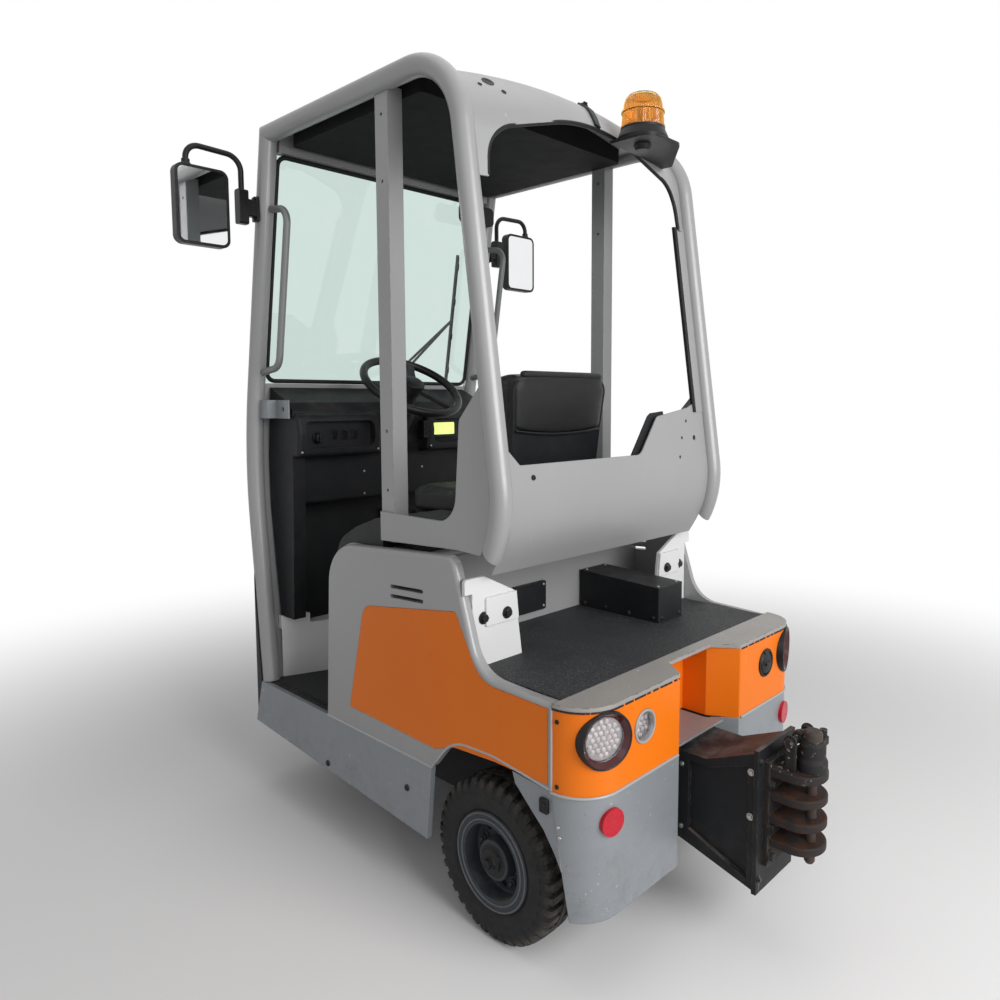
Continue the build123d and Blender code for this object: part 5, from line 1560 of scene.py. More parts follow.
@dataclass
class Seat:
    """Driver's seat: cushion and back blown up as cloth, and the hood over the back's shell."""

    pads: Tuple[str, ...] = ("seat_cushion", "seat_back")
    pad_fill: float = 0.7
    voxel: float = 0.006
    pressure: float = 4.0
    frames: int = 20
    swell: float = 0.010
    least_room: float = 0.5
    hood_fill: float = 0.5
    hood_z: Row = (1.252, 1.408)
    hood_half_w: float = 0.198
    hood_taper: float = 0.012
    hood_dip: float = 0.012
    hood_bulge: float = 0.013
    hood_swell: Row = (0.12, 0.80)
    hood_swell_power: float = 0.6
    hood_off: float = 0.003
    hood_in: float = 0.006
    hood_rows: int = 10
    hood_columns: int = 16
    hood_limit_x: float = 0.235
    ray_x: float = -0.2
    piping_r: float = 0.0035
    piping_off: Spot = (-0.001, 0, 0)
    roll_r: float = 0.011
    roll_off: Spot = (0.010, 0, 0.002)

    def build(self) -> None:
        """Makes both pads and the hood."""
        for node in self.pads:
            self.pad(node)
        self.hood()

    def hood(self) -> None:
        """Makes the cover's back, drawn over the shell down to a piped seam."""
        shells = [Skin("seat_frame"), Skin("seat_back")]
        rings = [self.hood_ring(shells, j / self.hood_rows) for j in range(self.hood_rows + 1)]
        cover = Shape().loft(rings).done("seat_hood", VINYL, smooth=1)
        seam = [point + Vector(self.piping_off) for point in rings[0][: self.hood_columns + 1]]
        Shape().tube(seam, self.piping_r, sides=10).done("seat_hood_piping", VINYL)
        roll = [point + Vector(self.roll_off) for point in rings[-1][1 : self.hood_columns]]
        Shape().tube(roll, self.roll_r, sides=16).done("seat_hood_roll", VINYL, smooth=1)

    def hood_ring(self, shells: List[Skin], share: float) -> List[Vector]:
        """One level ring of the hood.

        Args:
            shells: The shells that it is drawn over.
            share: Height of the ring, from 0 at the seam to 1 at the top.

        Returns:
            Points along its back to the left, and back along its front.
        """
        (foot, top), (start, sweep) = self.hood_z, self.hood_swell
        back, front = [], []
        for i in range(self.hood_columns + 1):
            u = 2 * i / self.hood_columns - 1
            y = u * (self.hood_half_w - self.hood_taper * (1 - share))
            dip = self.hood_dip * (1 - u * u) * (1 - share)
            z = foot - dip + share * (top - foot + dip)
            near = min(self.behind(skin, y, z) for skin in shells)
            rise = math.sin(math.pi * (start + sweep * share)) ** self.hood_swell_power
            bulge = self.hood_bulge * (1 - u**4) * rise
            back.append(Vector((near - self.hood_off - bulge, y, z)))
            front.append(Vector((near + self.hood_in, y, z)))
        return back + front[::-1]

    def behind(self, skin: Skin, y: float, z: float) -> float:
        """Rearmost x of a shell at a place, or the hood's limit where it has nothing."""
        spot = skin.tree.ray_cast(place(self.ray_x, y, z), Vector(FORWARD))[0]
        return spot.x if spot else AXLE_X + self.hood_limit_x

    def pad(self, node: str) -> None:
        """Blows up one pad from its solid.

        Args:
            node: The plain solid.
        """
        low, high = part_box(node)
        middle, size = (low + high) / 2, high - low
        obj = bpy.data.objects.new(f"{node}_cover", frame["nodes"][node].data.copy())
        bpy.context.scene.collection.objects.link(obj)
        room = [max(self.least_room, 1 - 2 * self.swell / length) for length in size]
        shrink = Matrix.Diagonal((*room, 1.0))
        obj.data.transform(Matrix.Translation(middle) @ shrink @ Matrix.Translation(-middle))
        remesh = obj.modifiers.new("remesh", "REMESH")
        remesh.mode = "VOXEL"
        remesh.voxel_size = self.voxel
        self.apply(obj)
        rest = [v.co.copy() for v in obj.data.vertices]
        self.blow(obj)
        for vertex, start in zip(obj.data.vertices, rest):
            move = vertex.co - start
            if move.length > self.swell:
                move.length = self.swell
            vertex.co = start + move
        ride(obj, VINYL, Body.CHASSIS, smooth=1, replaces=[node])

    def blow(self, obj: bpy.types.Object) -> None:
        """Runs the cloth and keeps its result.

        Args:
            obj: The remeshed pad.
        """
        cloth = obj.modifiers.new("cloth", "CLOTH")
        cloth.settings.use_pressure = True
        cloth.settings.uniform_pressure_force = self.pressure
        cloth.settings.effector_weights.gravity = 0.0
        scene = bpy.context.scene
        for step in range(1, self.frames + 1):
            scene.frame_set(step)
        self.apply(obj)
        scene.frame_set(1)

    def apply(self, obj: bpy.types.Object) -> None:
        """Turns an object's modifiers into its mesh."""
        graph = bpy.context.evaluated_depsgraph_get()
        made = bpy.data.meshes.new_from_object(obj.evaluated_get(graph))
        obj.modifiers.clear()
        obj.data = made


@dataclass
class BodyTrim:
    """Beads, seals, wings and buffers along the edges of the body's skins."""

    half_w: float = 0.500
    corner_x: float = -0.224
    rear_x: float = -0.328
    corner_r: float = 0.104
    corner_gap: float = 0.0005
    corner_steps: int = 14
    notch_half_w: float = 0.148
    notch_gap: float = 0.006
    band_z: float = 0.474
    band_out: float = 0.0008
    deck_z: float = 0.668
    bead_r: float = 0.0035
    bead_in: float = 0.001
    upright_in: float = 0.0005
    upright_gap: float = 0.004
    seal_r: float = 0.0022
    seal_drop: float = 0.002
    seal_out: float = 0.0004
    seal_seed: int = 7
    dash: Row = (0.008, 0.030)
    dash_gap: Row = (0.001, 0.012)
    arch: Spots = (
        (-0.224, 0.478, 0.0), (-0.040, 0.497, 0.300), (0.112, 0.490, 0.130),
        (0.196, 0.392, 0.0), (0.690, 0.392, 0.0),
    )
    buffer_at: Spot = (-0.204, 0.500, 0.437)
    buffer_size: Spot = (0.026, 0.010, 0.034)
    buffer_screw_r: float = 0.006
    wing: Rows = (
        (-0.2265, 0.4735), (-0.100, 0.4815), (-0.109, 0.4556), (-0.152, 0.4175), (-0.199, 0.377),
        (-0.232, 0.334), (-0.2535, 0.297),
    )
    wing_y: Row = (0.4925, 0.4985)

    def build(self) -> None:
        """Builds the trim of both sides."""
        for side, word in SIDES:
            y = side * (self.half_w - self.bead_in)
            # The bead tubes really round the panel's edges; their paint, lighter than the silver,
            # is a painted highlight on that rounding.
            bead = Shape().tube([place(x, y, z) for x, z in filleted(self.arch)], self.bead_r)
            bead.tube(self.upright(side), self.bead_r)
            bead.done(f"panel_bead_{word}", BEAD)
            band = self.round_tail(side, self.band_z, self.band_out)
            Shape().tube(band, self.bead_r).done(f"cover_bead_{word}", BEAD)
            self.seal(side).done(f"deck_seal_{word}", BLACK)
            self.skirt_wing(side).done(f"skirt_wing_{word}", GREY, bevel=0.001)
            self.skirt_buffer(side).done(f"skirt_buffer_{word}", BLACK, bevel=0.002)

    def skirt_wing(self, side: int) -> Shape:
        """Slanted front edge of the rear skirt on one side."""
        near, far = self.wing_y
        corners = [(-side * (AXLE_X + x), z) for x, z in self.wing]
        stand = Matrix(((-side, 0, 0, 0), (0, 0, side, side * near), (0, 1, 0, 0), (0, 0, 0, 1)))
        return Shape().prism(corners, stand, far - near)

    def skirt_buffer(self, side: int) -> Shape:
        """Rubber block with its screw on the skirt.

        Args:
            side: 1 for left, -1 for right.

        Returns:
            The mesh.
        """
        x, y, z = self.buffer_at
        length, depth, height = self.buffer_size
        stand = facing(place(x, side * (y - depth / 2), z), (0, side, 0))
        block = Shape().slab(length, height, depth, stand, r=0.004)
        return block.screw(raised(stand, depth), self.buffer_screw_r)

    def seal(self, side: int) -> Shape:
        """Worn seal under the deck's edge, in short lengths.

        Args:
            side: 1 for left, -1 for right.

        Returns:
            The mesh.
        """
        line = self.round_tail(side, self.deck_z - self.seal_drop, self.seal_out)
        draw = random.Random(self.seal_seed + side)
        shape = Shape()
        for start, end in zip(line, line[1:]):
            reach, length = 0.0, (end - start).length
            while reach < length:
                dash = min(draw.uniform(*self.dash), length - reach)
                ends = [start.lerp(end, at / length) for at in (reach, reach + dash)]
                shape.tube(ends, self.seal_r, sides=8)
                reach += dash + draw.uniform(*self.dash_gap)
        return shape

    def upright(self, side: int) -> List[Vector]:
        """Ends of the bead between inlay and rear cover."""
        y = side * (self.half_w - self.upright_in)
        return [place(self.corner_x, y, z) for z in (self.band_z + self.upright_gap, self.deck_z)]

    def round_tail(self, side: int, z: float, out: float) -> List[Vector]:
        """Line round one corner of the tail.

        Args:
            side: 1 for left, -1 for right.
            z: Its height.
            out: Distance out of the skin.

        Returns:
            Its points.
        """
        half_w, back = self.half_w + out, self.rear_x - out
        rows = [
            (self.corner_x, half_w, 0.0),
            (back, half_w, self.corner_r + out - self.corner_gap),
            (back, self.notch_half_w + self.notch_gap, 0.0),
        ]
        return [place(x, side * y, z) for x, y in filleted(rows, self.corner_steps)]


class Head(Enum):
    """Kinds of fastener."""

    BOLT = "bolt"
    SCREW = "screw"


@dataclass(frozen=True)
class FastenerRow:
    """A group of like fasteners that are set on one node.

    Places are (x, y, z) of points off the surface; each is moved along ahead until it meets it.
    """

    name: str
    node: str
    finish: Finish
    head: Head
    r: float
    ahead: Spot
    places: Spots
    mirrored: bool = True


FASTENERS: Tuple[FastenerRow, ...] = (
    FastenerRow(
        "foot_bolts", "cab_feet", DARK, Head.BOLT, 0.0105, FORWARD,
        ((-0.3, 0.437, 0.800), (-0.3, 0.361, 0.800)),
    ),
    FastenerRow(
        "tow_side_bolts", "tow_box", PLATED, Head.BOLT, 0.006, RIGHT,
        ((-0.491, 0.3, 0.462), (-0.491, 0.3, 0.352)),
    ),
    FastenerRow(
        "tow_front_bolts", "tow_box", PLATED, Head.BOLT, 0.0045, RIGHT,
        ((-0.300, 0.3, 0.420), (-0.300, 0.3, 0.256)),
    ),
    FastenerRow(
        "tow_plate_bolts", "tow_box", DARK, Head.BOLT, 0.006, FORWARD,
        ((-0.8, 0.082, 0.490), (-0.8, 0.082, 0.200)),
    ),
    FastenerRow(
        "coupler_bolts", "coupler_body", DARK, Head.BOLT, 0.010, FORWARD,
        ((-0.8, 0.054, 0.252), (-0.8, 0.054, 0.326), (-0.8, 0.054, 0.430)),
    ),
    FastenerRow(
        "cover_screws", "rear_cover", FINE_BLACK, Head.SCREW, 0.0055, RIGHT,
        ((-0.240, 0.8, 0.640), (-0.240, 0.8, 0.492)),
    ),
    FastenerRow(
        "skirt_screws", "rear_skirt", PLATED, Head.SCREW, 0.0045, RIGHT,
        ((-0.243, 0.8, 0.399), (-0.247, 0.8, 0.376)),
    ),
    FastenerRow(
        "inlay_screws", "side_inlays", ORANGE, Head.SCREW, 0.005, RIGHT, ((0.187, 0.8, 0.687),)
    ),
    FastenerRow(
        "panel_plugs", "rear_panel", BLACK, Head.SCREW, 0.007, FORWARD, ((-0.6, 0.359, 1.151),),
        mirrored=False,
    ),
    FastenerRow(
        "sill_plugs", "sills", BLACK, Head.SCREW, 0.009, RIGHT,
        ((0.694, 0.8, 0.238), (0.300, 0.8, 0.300)),
    ),
    FastenerRow(
        "knee_screws", "dash", PLATED, Head.SCREW, 0.0045, FORWARD,
        ((0.7, 0.370, 1.085), (0.7, 0.130, 1.085), (0.7, 0.370, 1.005), (0.7, 0.130, 1.005)),
    ),
    FastenerRow(
        "pod_screws", "dash", PLATED, Head.SCREW, 0.004, FORWARD,
        ((0.7, 0.412, 1.168), (0.7, 0.118, 1.168)),
    ),
    FastenerRow(
        "box_side_bolts", "deck_fittings", DARK, Head.BOLT, 0.0045, RIGHT,
        ((-0.030, 0.0, 0.690), (0.060, 0.0, 0.690), (0.150, 0.0, 0.690), (0.235, 0.0, 0.690)),
        mirrored=False,
    ),
    FastenerRow(
        "box_rear_bolts", "deck_fittings", DARK, Head.BOLT, 0.0045, FORWARD,
        ((-0.4, -0.182, 0.690), (-0.4, -0.273, 0.690)),
        mirrored=False,
    ),
    FastenerRow(
        "box_lid_screws", "deck_fittings", PLATED, Head.SCREW, 0.0045, DOWN,
        ((-0.036, -0.180, 1.0), (-0.036, -0.275, 1.0), (0.240, -0.180, 1.0), (0.240, -0.275, 1.0)),
        mirrored=False,
    ),
    FastenerRow(
        "socket_screws", "deck_fittings", PLATED, Head.SCREW, 0.0045, FORWARD,
        ((0.1, 0.013, 0.713), (0.1, 0.132, 0.713), (0.1, 0.013, 0.779), (0.1, 0.132, 0.779)),
        mirrored=False,
    ),
    FastenerRow(
        "bracket_bolts", "pillar_brackets", DARK, Head.BOLT, 0.006, LEFT,
        ((1.062, 0.2, 1.322), (1.062, 0.2, 1.294)),
    ),
    FastenerRow(
        "hump_screws", "side_covers", BLACK, Head.SCREW, 0.007, DOWN,
        ((0.480, 0.300, 1.3), (0.340, 0.300, 1.3)),
    ),
    FastenerRow(
        "nose_screws", "nose_cover", BLACK, Head.SCREW, 0.008, BACKWARD,
        ((1.5, 0.400, 0.840), (1.5, 0.120, 0.840), (1.5, 0.400, 0.300), (1.5, 0.120, 0.300)),
    ),
)


@dataclass
class Fasteners:
    """Bolts, screws and plugs on the body, the cab and the towing gear."""

    rows: Tuple[FastenerRow, ...] = FASTENERS
    turn: float = 0.4
    bevel: float = 0.0005

    def build(self) -> None:
        """Sets every group on its node, each head turned a little from the one before."""
        for row in self.rows:
            skin = Skin(row.node)
            shape = Shape()
            make = shape.bolt if row.head is Head.BOLT else shape.screw
            for side, _ in SIDES[: 2 if row.mirrored else 1]:
                ahead = (row.ahead[0], side * row.ahead[1], row.ahead[2])
                for i, (x, y, z) in enumerate(row.places):
                    make(skin.stand(place(x, side * y, z), ahead, self.turn * i), row.r)
            shape.done(row.name, row.finish, bevel=self.bevel)


@dataclass
class RoofTrim:
    """Rubber strip along the fascia's arch, plugs in the roof's shoulder and the beacon's strap."""

    arch_half_w: float = 0.4102
    edge_z: float = 1.878
    edge_drop: float = 0.004
    shoulder: Spot = (0.3982, 1.990, 0.110)
    peak: Spot = (0.0, 2.106, 0.600)
    arch_steps: int = 16
    strip_r: float = 0.006
    strip_in: float = 0.002
    ray_x: float = -0.6
    ray_spread: float = 1.03
    ray_rise: float = 0.006
    above_z: float = 2.6
    plugs: Spots = ((0.1363, 0.3407, 0.017), (0.1262, 0.3769, 0.006), (0.1068, 0.3141, 0.007))
    plug_shares: Rows = (
        (0, 0.0004), (0.6, 0.0004), (0.7, 0.0012), (1, 0.0012), (1, -0.001), (0, -0.001),
    )
    strap: Rows = (
        (0.185, -0.070), (0.160, -0.058), (0.116, -0.032), (0.090, -0.016), (0.0665, -0.003),
    )
    strap_w: float = 0.020
    strap_t: float = 0.007
    strap_in: float = 0.001
    strap_bolt_r: float = 0.007

    def build(self) -> None:
        """Builds the trim on the roof's skin."""
        skin = Skin("roof_skin")
        half = [(self.arch_half_w, self.edge_z - self.edge_drop, 0.0), self.shoulder, self.peak]
        rows = half + [(-y, z, r) for y, z, r in half[1::-1]]
        line = []
        for y, z in filleted(rows, self.arch_steps):
            start = place(self.ray_x, self.ray_spread * y, z + self.ray_rise)
            near = skin.stand(start, FORWARD).translation
            line.append(Vector((near.x + self.strip_in, y, z)))
        Shape().tube(line, self.strip_r, sides=10).done("fascia_strip", BLACK)
        plugs = Shape()
        for x, y, r in self.plugs:
            stand = skin.stand(place(x, y, self.above_z), DOWN)
            plugs.lathe(scaled(self.plug_shares, r), stand, steps=20)
        plugs.done("roof_plugs", BLACK)
        self.hold(skin)

    def hold(self, skin: Skin) -> None:
        """Builds the bent strap down the roof beside the beacon.

        Args:
            skin: The roof's surface.
        """
        stands = [skin.stand(place(x, y, self.above_z), DOWN) for x, y in self.strap]
        ahead = stands[-1].translation - stands[0].translation
        rings = []
        for stand in stands:
            out = stand.col[2].xyz
            across = out.cross(ahead).normalized() * (self.strap_w / 2)
            root = stand.translation - self.strap_in * out
            top = stand.translation + self.strap_t * out
            rings.append([root - across, root + across, top + across, top - across])
        shape = Shape().loft(rings)
        out = stands[1].col[2].xyz
        shape.bolt(facing(stands[1].translation + self.strap_t * out, out), self.strap_bolt_r)
        shape.done("beacon_strap", BLACK, bevel=0.001)


@dataclass
class PostTrim:
    """Plate with a rubber edge inside the right rear tube, and a black strip by the rear panel's
    ear that paints the shade of the ear's side.
    """

    tube_y: float = -0.470
    tube_r: float = 0.0275
    ray_x: float = -0.5
    heights: Tuple[float, ...] = (1.300, 1.450, 1.600, 1.750, 1.880)
    plate_y: Row = (-0.446, -0.400)
    plate_half_t: float = 0.003
    edge_y: Row = (-0.402, -0.388)
    edge_half_t: float = 0.006
    panel_root: Row = (-0.050, 1.039)
    lean: float = 0.1425
    ear_off: Row = (0.009, 0.014)
    ear: Tuple[Tuple[Row, Row], ...] = (
        ((-0.052, 1.172), (-0.085, 1.160)),
        ((-0.160, 1.291), (-0.190, 1.270)),
        ((-0.176, 1.300), (-0.200, 1.280)),
        ((-0.240, 1.305), (-0.240, 1.280)),
    )

    def build(self) -> None:
        """Builds plate, edge and the black strip of painted shade beside the ear."""
        tubes = Skin("cab_tubes")
        starts = [place(self.ray_x, self.tube_y, z) for z in self.heights]
        spine = [tubes.stand(start, FORWARD).translation for start in starts]
        plate = self.ribbon(spine, self.plate_y, self.plate_half_t)
        plate.done("post_plate", SILVER, bevel=0.0008)
        edge = self.ribbon(spine, self.edge_y, self.edge_half_t)
        edge.done("post_plate_edge", BLACK, bevel=0.002)
        # Painted shade: a thin black strip just ahead of the rear panel shows as a dark band beside
        # the ear's edge, standing for the shaded side of the ear.
        near, far = self.ear_off
        rings = [
            [self.on_panel(y, z, near) for y, z in (seen, hidden)]
            + [self.on_panel(y, z, far) for y, z in (hidden, seen)]
            for seen, hidden in self.ear
        ]
        Shape().loft(rings).done("panel_ear_shade_strip", BLACK, bevel=0.001)

    def on_panel(self, y: float, z: float, off: float) -> Vector:
        """Point a distance ahead of the back of the leaning rear panel."""
        root_x, root_z = self.panel_root
        return place(root_x + self.lean * (z - root_z) + off, y, z)

    def ribbon(self, spine: List[Vector], ys: Row, half_t: float) -> Shape:
        """Flat strip along the tube.

        Args:
            spine: Points on the tube's back.
            ys: Its two edges, as distances to the left.
            half_t: Half its thickness.

        Returns:
            The mesh.
        """
        first, second = ys
        corners = ((first, -half_t), (second, -half_t), (second, half_t), (first, half_t))
        return Shape().loft([
            [Vector((point.x + self.tube_r + dx, y, point.z)) for y, dx in corners]
            for point in spine
        ])


@dataclass
class TowHead:
    """Latch of the coupling pin on top of the casting: lugs, spindle and nuts."""

    at: Row = (-0.566, 0.540)
    above_z: float = 0.8
    lug_y: float = 0.036
    lug: Row = (0.024, 0.010)
    lug_rise: float = 0.017
    lug_in: float = 0.002
    lug_corner: float = 0.009
    spindle_rise: float = 0.004
    spindle_r: float = 0.0075
    spindle_half: float = 0.056
    nut_r: float = 0.0115
    collar_y: float = -0.012
    collar: Rows = (
        (0, 0), (0.013, 0), (0.015, 0.003), (0.015, 0.021), (0.013, 0.024), (0, 0.024),
    )
    collar_ribs: int = 8
    collar_rib: float = 0.0012

    def build(self) -> None:
        """Builds the latch."""
        skin = Skin("coupler_body")
        x, z = self.at
        width, depth = self.lug
        top, axis = z + self.lug_rise, z + self.spindle_rise
        latch = Shape()
        for side, _ in SIDES:
            above = place(x, side * (self.lug_y + depth / 2), self.above_z)
            foot = skin.stand(above, DOWN).translation.z - self.lug_in
            out = (0, side, 0)
            stand = facing(place(x, side * self.lug_y, (top + foot) / 2), out)
            latch.slab(width, top - foot, depth, stand, self.lug_corner)
            latch.bolt(facing(place(x, side * (self.lug_y + depth), axis), out), self.nut_r)
        half = self.spindle_half
        latch.tube([place(x, y, axis) for y in (-half, 0, half)], self.spindle_r, sides=16)
        stand = facing(place(x, self.collar_y, axis), LEFT)
        latch.lathe(self.collar, stand, steps=24, ribs=self.collar_ribs, rib=self.collar_rib)
        latch.done("pin_latch", CAST, bevel=0.0012)


@dataclass
class Glazing:
    """Rubber round the windscreen, and the wiper's blade."""

    top: Row = (0.996, 2.162)
    bend: Row = (1.168, 1.150)
    half_w: float = 0.436
    low_z: float = 1.402
    high_z: float = 2.106
    corner_r: float = 0.03
    corner_steps: int = 6
    rubber_r: float = 0.0075
    blade_y: float = -0.347
    blade_z: Row = (1.420, 1.900)
    blade_off: float = 0.0085
    blade_bars: Rows = ((0.0025, -0.003), (0.0045, 0.0035))
    claws: Tuple[float, ...] = (0.08, 0.36, 0.64, 0.92)
    claw_half: float = 0.012
    claw_r: float = 0.0065

    def at(self, y: float, z: float, off: float = 0.0) -> Vector:
        """Point on the glass, or a distance in front of it."""
        share = (z - self.top[1]) / (self.bend[1] - self.top[1])
        return place(self.top[0] + share * (self.bend[0] - self.top[0]) + off, y, z)

    def build(self) -> None:
        """Builds gasket and blade."""
        w, low, high, r = self.half_w, self.low_z, self.high_z, self.corner_r
        rows = [(0, low, 0), (w, low, r), (w, high, r), (-w, high, r), (-w, low, r), (0, low, 0)]
        line = [self.at(y, z) for y, z in filleted(rows, self.corner_steps)]
        Shape().tube(line, self.rubber_r).done("windscreen_gasket", BLACK)
        foot, tip = self.blade_z
        blade = Shape()
        for bar_r, off in self.blade_bars:
            heights = (foot, 0.5 * (foot + tip), tip)
            bar = [self.at(self.blade_y, z, self.blade_off + off) for z in heights]
            blade.tube(bar, bar_r, sides=8)
        for share in self.claws:
            z = foot + share * (tip - foot)
            ends = (z - self.claw_half, z + self.claw_half)
            claw = [self.at(self.blade_y, end, self.blade_off) for end in ends]
            blade.tube(claw, self.claw_r, sides=8)
        blade.done("wiper_blade", FINE_BLACK)


@dataclass
class DriverPlace:
    """Display, key switch, rocker switches, steering hub and pedals."""

    screen_share: Row = (0.62, 0.72)
    screen_t: float = 0.0012
    frame_share: Row = (0.70, 0.84)
    frame_t: float = 0.0006
    screen_shift: float = 0.10
    key_share: Row = (0.20, 0.18)
    key_step: Row = (-0.34, 0.27)
    key_t: float = 0.002
    dash_ray_x: float = 0.7
    knob_at: Row = (0.340, 1.212)
    knob_r: float = 0.019
    knob_shares: Rows = (
        (0, 0), (1, 0), (1, 0.005), (0.8, 0.008), (0.8, 0.016), (0.7, 0.019), (0, 0.019),
    )
    knob_ribs: int = 16
    knob_rib: float = 0.0004
    knob_grip: Spot = (0.5, 1.5, 0.026)
    switches: Rows = ((0.275, 1.222), (0.235, 1.222), (0.195, 1.222))
    switch_frame: Spot = (0.026, 0.036, 0.003)
    rocker: Spot = (0.020, 0.029, 0.006)
    rocker_z: float = 0.002
    rocker_tilt: float = 0.16
    wheel_at: Row = (0.905, 1.386)
    wheel_tilt_deg: float = 33.0
    hub_r: float = 0.042
    hub_shares: Rows = (
        (0, 0.027), (0.5, 0.0262), (0.82, 0.0235), (0.98, 0.018), (1, 0.010), (0, 0.010),
    )
    spoke: Spot = (0.030, 0.158, 0.026)
    spoke_half: Row = (0.7, 0.45)
    spoke_z: float = 0.004
    spoke_t: float = 0.0045
    spokes_deg: Spot = (180, 300, 420)
    pedals: Tuple[Tuple[str, float, float], ...] = (
        ("brake", -0.030, 0.085), ("drive", -0.165, 0.060),
    )
    pedal_at: Row = (0.955, 0.672)
    pedal_out: Spot = (-0.86, 0, 0.5)
    pedal_h: float = 0.080
    pedal_t: float = 0.009
    pedal_ribs: int = 6
    pedal_rib: Spot = (0.86, 0.006, 0.004)
    pedal_rib_z: float = 0.008
    pedal_arm_r: float = 0.009
    pedal_arm_in: float = 0.004
    pedal_arm: Rows = ((0.035, 0.05), (0.06, 0.14))
    pedal_root: Row = (0.8, 0.90)
    pedal_foot: Spot = (0.05, 0.05, 0.008)

    def build(self) -> None:
        """Builds the driver's controls."""
        self.display()
        self.switchgear()
        self.hub()
        for name, y, width in self.pedals:
            self.pedal(name, y, width)

    def display(self) -> None:
        """Builds the lit screen and its keys."""
        low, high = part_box("display")
        middle = Vector((low.x, (low.y + high.y) / 2, (low.z + high.z) / 2))
        stand = facing(middle, BACKWARD)
        width, height = high.y - low.y, high.z - low.z
        window = stand @ Matrix.Translation((self.screen_shift * width, 0, 0))
        across, up = self.screen_share
        screen = Shape().slab(across * width, up * height, self.screen_t, window, r=0.004)
        screen.done("display_screen", SCREEN)
        keys = Shape()
        (across, up), (shift, step) = self.key_share, self.key_step
        for row in (-1, 0, 1):
            spot = stand @ Matrix.Translation((shift * width, row * step * height, 0))
            keys.slab(across * width, up * height, self.key_t, spot, r=0.004)
        across, up = self.frame_share
        keys.slab(across * width, up * height, self.frame_t, window, r=0.006)
        keys.done("display_keys", BLACK, bevel=0.0006)

    def switchgear(self) -> None:
        """Builds the key switch and the rocker switches in the left tray."""
        skin = Skin("dash")
        r = self.knob_r
        stand = skin.stand(place(self.dash_ray_x, *self.knob_at), FORWARD)
        rows = scaled(self.knob_shares, r)
        knob = Shape().lathe(rows, stand, steps=32, ribs=self.knob_ribs, rib=self.knob_rib)
        width, height, depth = self.knob_grip
        knob.slab(width * r, height * r, depth, stand, r=0.003)
        knob.done("key_switch", FINE_BLACK, bevel=0.0008)
        rockers = Shape()
        for y, z in self.switches:
            stand = skin.stand(place(self.dash_ray_x, y, z), FORWARD)
            rockers.slab(*self.switch_frame, stand, r=0.003)
            tilted = raised(stand, self.rocker_z) @ Matrix.Rotation(self.rocker_tilt, 4, "X")
            rockers.slab(*self.rocker, tilted, r=0.003)
        rockers.done("rocker_switches", FINE_BLACK, bevel=0.0008)

    def hub(self) -> None:
        """Builds the steering wheel's hub cap and spoke covers."""
        tilt = math.radians(self.wheel_tilt_deg)
        x, z = self.wheel_at
        stand = facing(place(x, 0, z), (-math.sin(tilt), 0, math.cos(tilt)))
        cap = Shape().lathe(scaled(self.hub_shares, self.hub_r), stand, steps=40)
        inner, outer, width = self.spoke
        root, tip = (share * width for share in self.spoke_half)
        corners = [(inner, -root), (outer, -tip), (outer, tip), (inner, root)]
        for turn in self.spokes_deg:
            arm = stand @ Matrix.Rotation(math.radians(turn), 4, "Z")
            cap.prism(corners, raised(arm, self.spoke_z), self.spoke_t)
        cap.done("steering_hub_cap", BLACK, Body.STEERING_WHEEL, bevel=0.002)

    def pedal(self, name: str, y: float, width: float) -> None:
        """Builds one hanging pedal with a ribbed rubber pad.

        Args:
            name: The pedal's name.
            y: Distance to the left.
            width: Width of its pad.
        """
        x, z = self.pedal_at
        stand = facing(place(x, y, z), self.pedal_out)
        pad = Shape().slab(width, self.pedal_h, self.pedal_t, stand, r=0.010)
        share, rib_w, rib_t = self.pedal_rib
        for i in range(self.pedal_ribs):
            up = (i - (self.pedal_ribs - 1) / 2) * self.pedal_h / (self.pedal_ribs + 1)
            rib = stand @ Matrix.Translation((0, up, self.pedal_rib_z))
            pad.slab(share * width, rib_w, rib_t, rib, r=0.002)
        pad.done(f"{name}_pedal_pad", BLACK, bevel=0.001)
        start_x, start_z = self.pedal_root
        root = Skin("dash").stand(place(start_x, y, start_z), FORWARD).translation
        bends = [place(x + ahead, y, z + rise) for ahead, rise in self.pedal_arm]
        points = [raised(stand, -self.pedal_arm_in).translation, *bends, root]
        arm = Shape().tube(points, self.pedal_arm_r, sides=12)
        arm.slab(*self.pedal_foot, facing(root, BACKWARD), r=0.006)
        arm.done(f"{name}_pedal_arm", DARK, bevel=0.001)


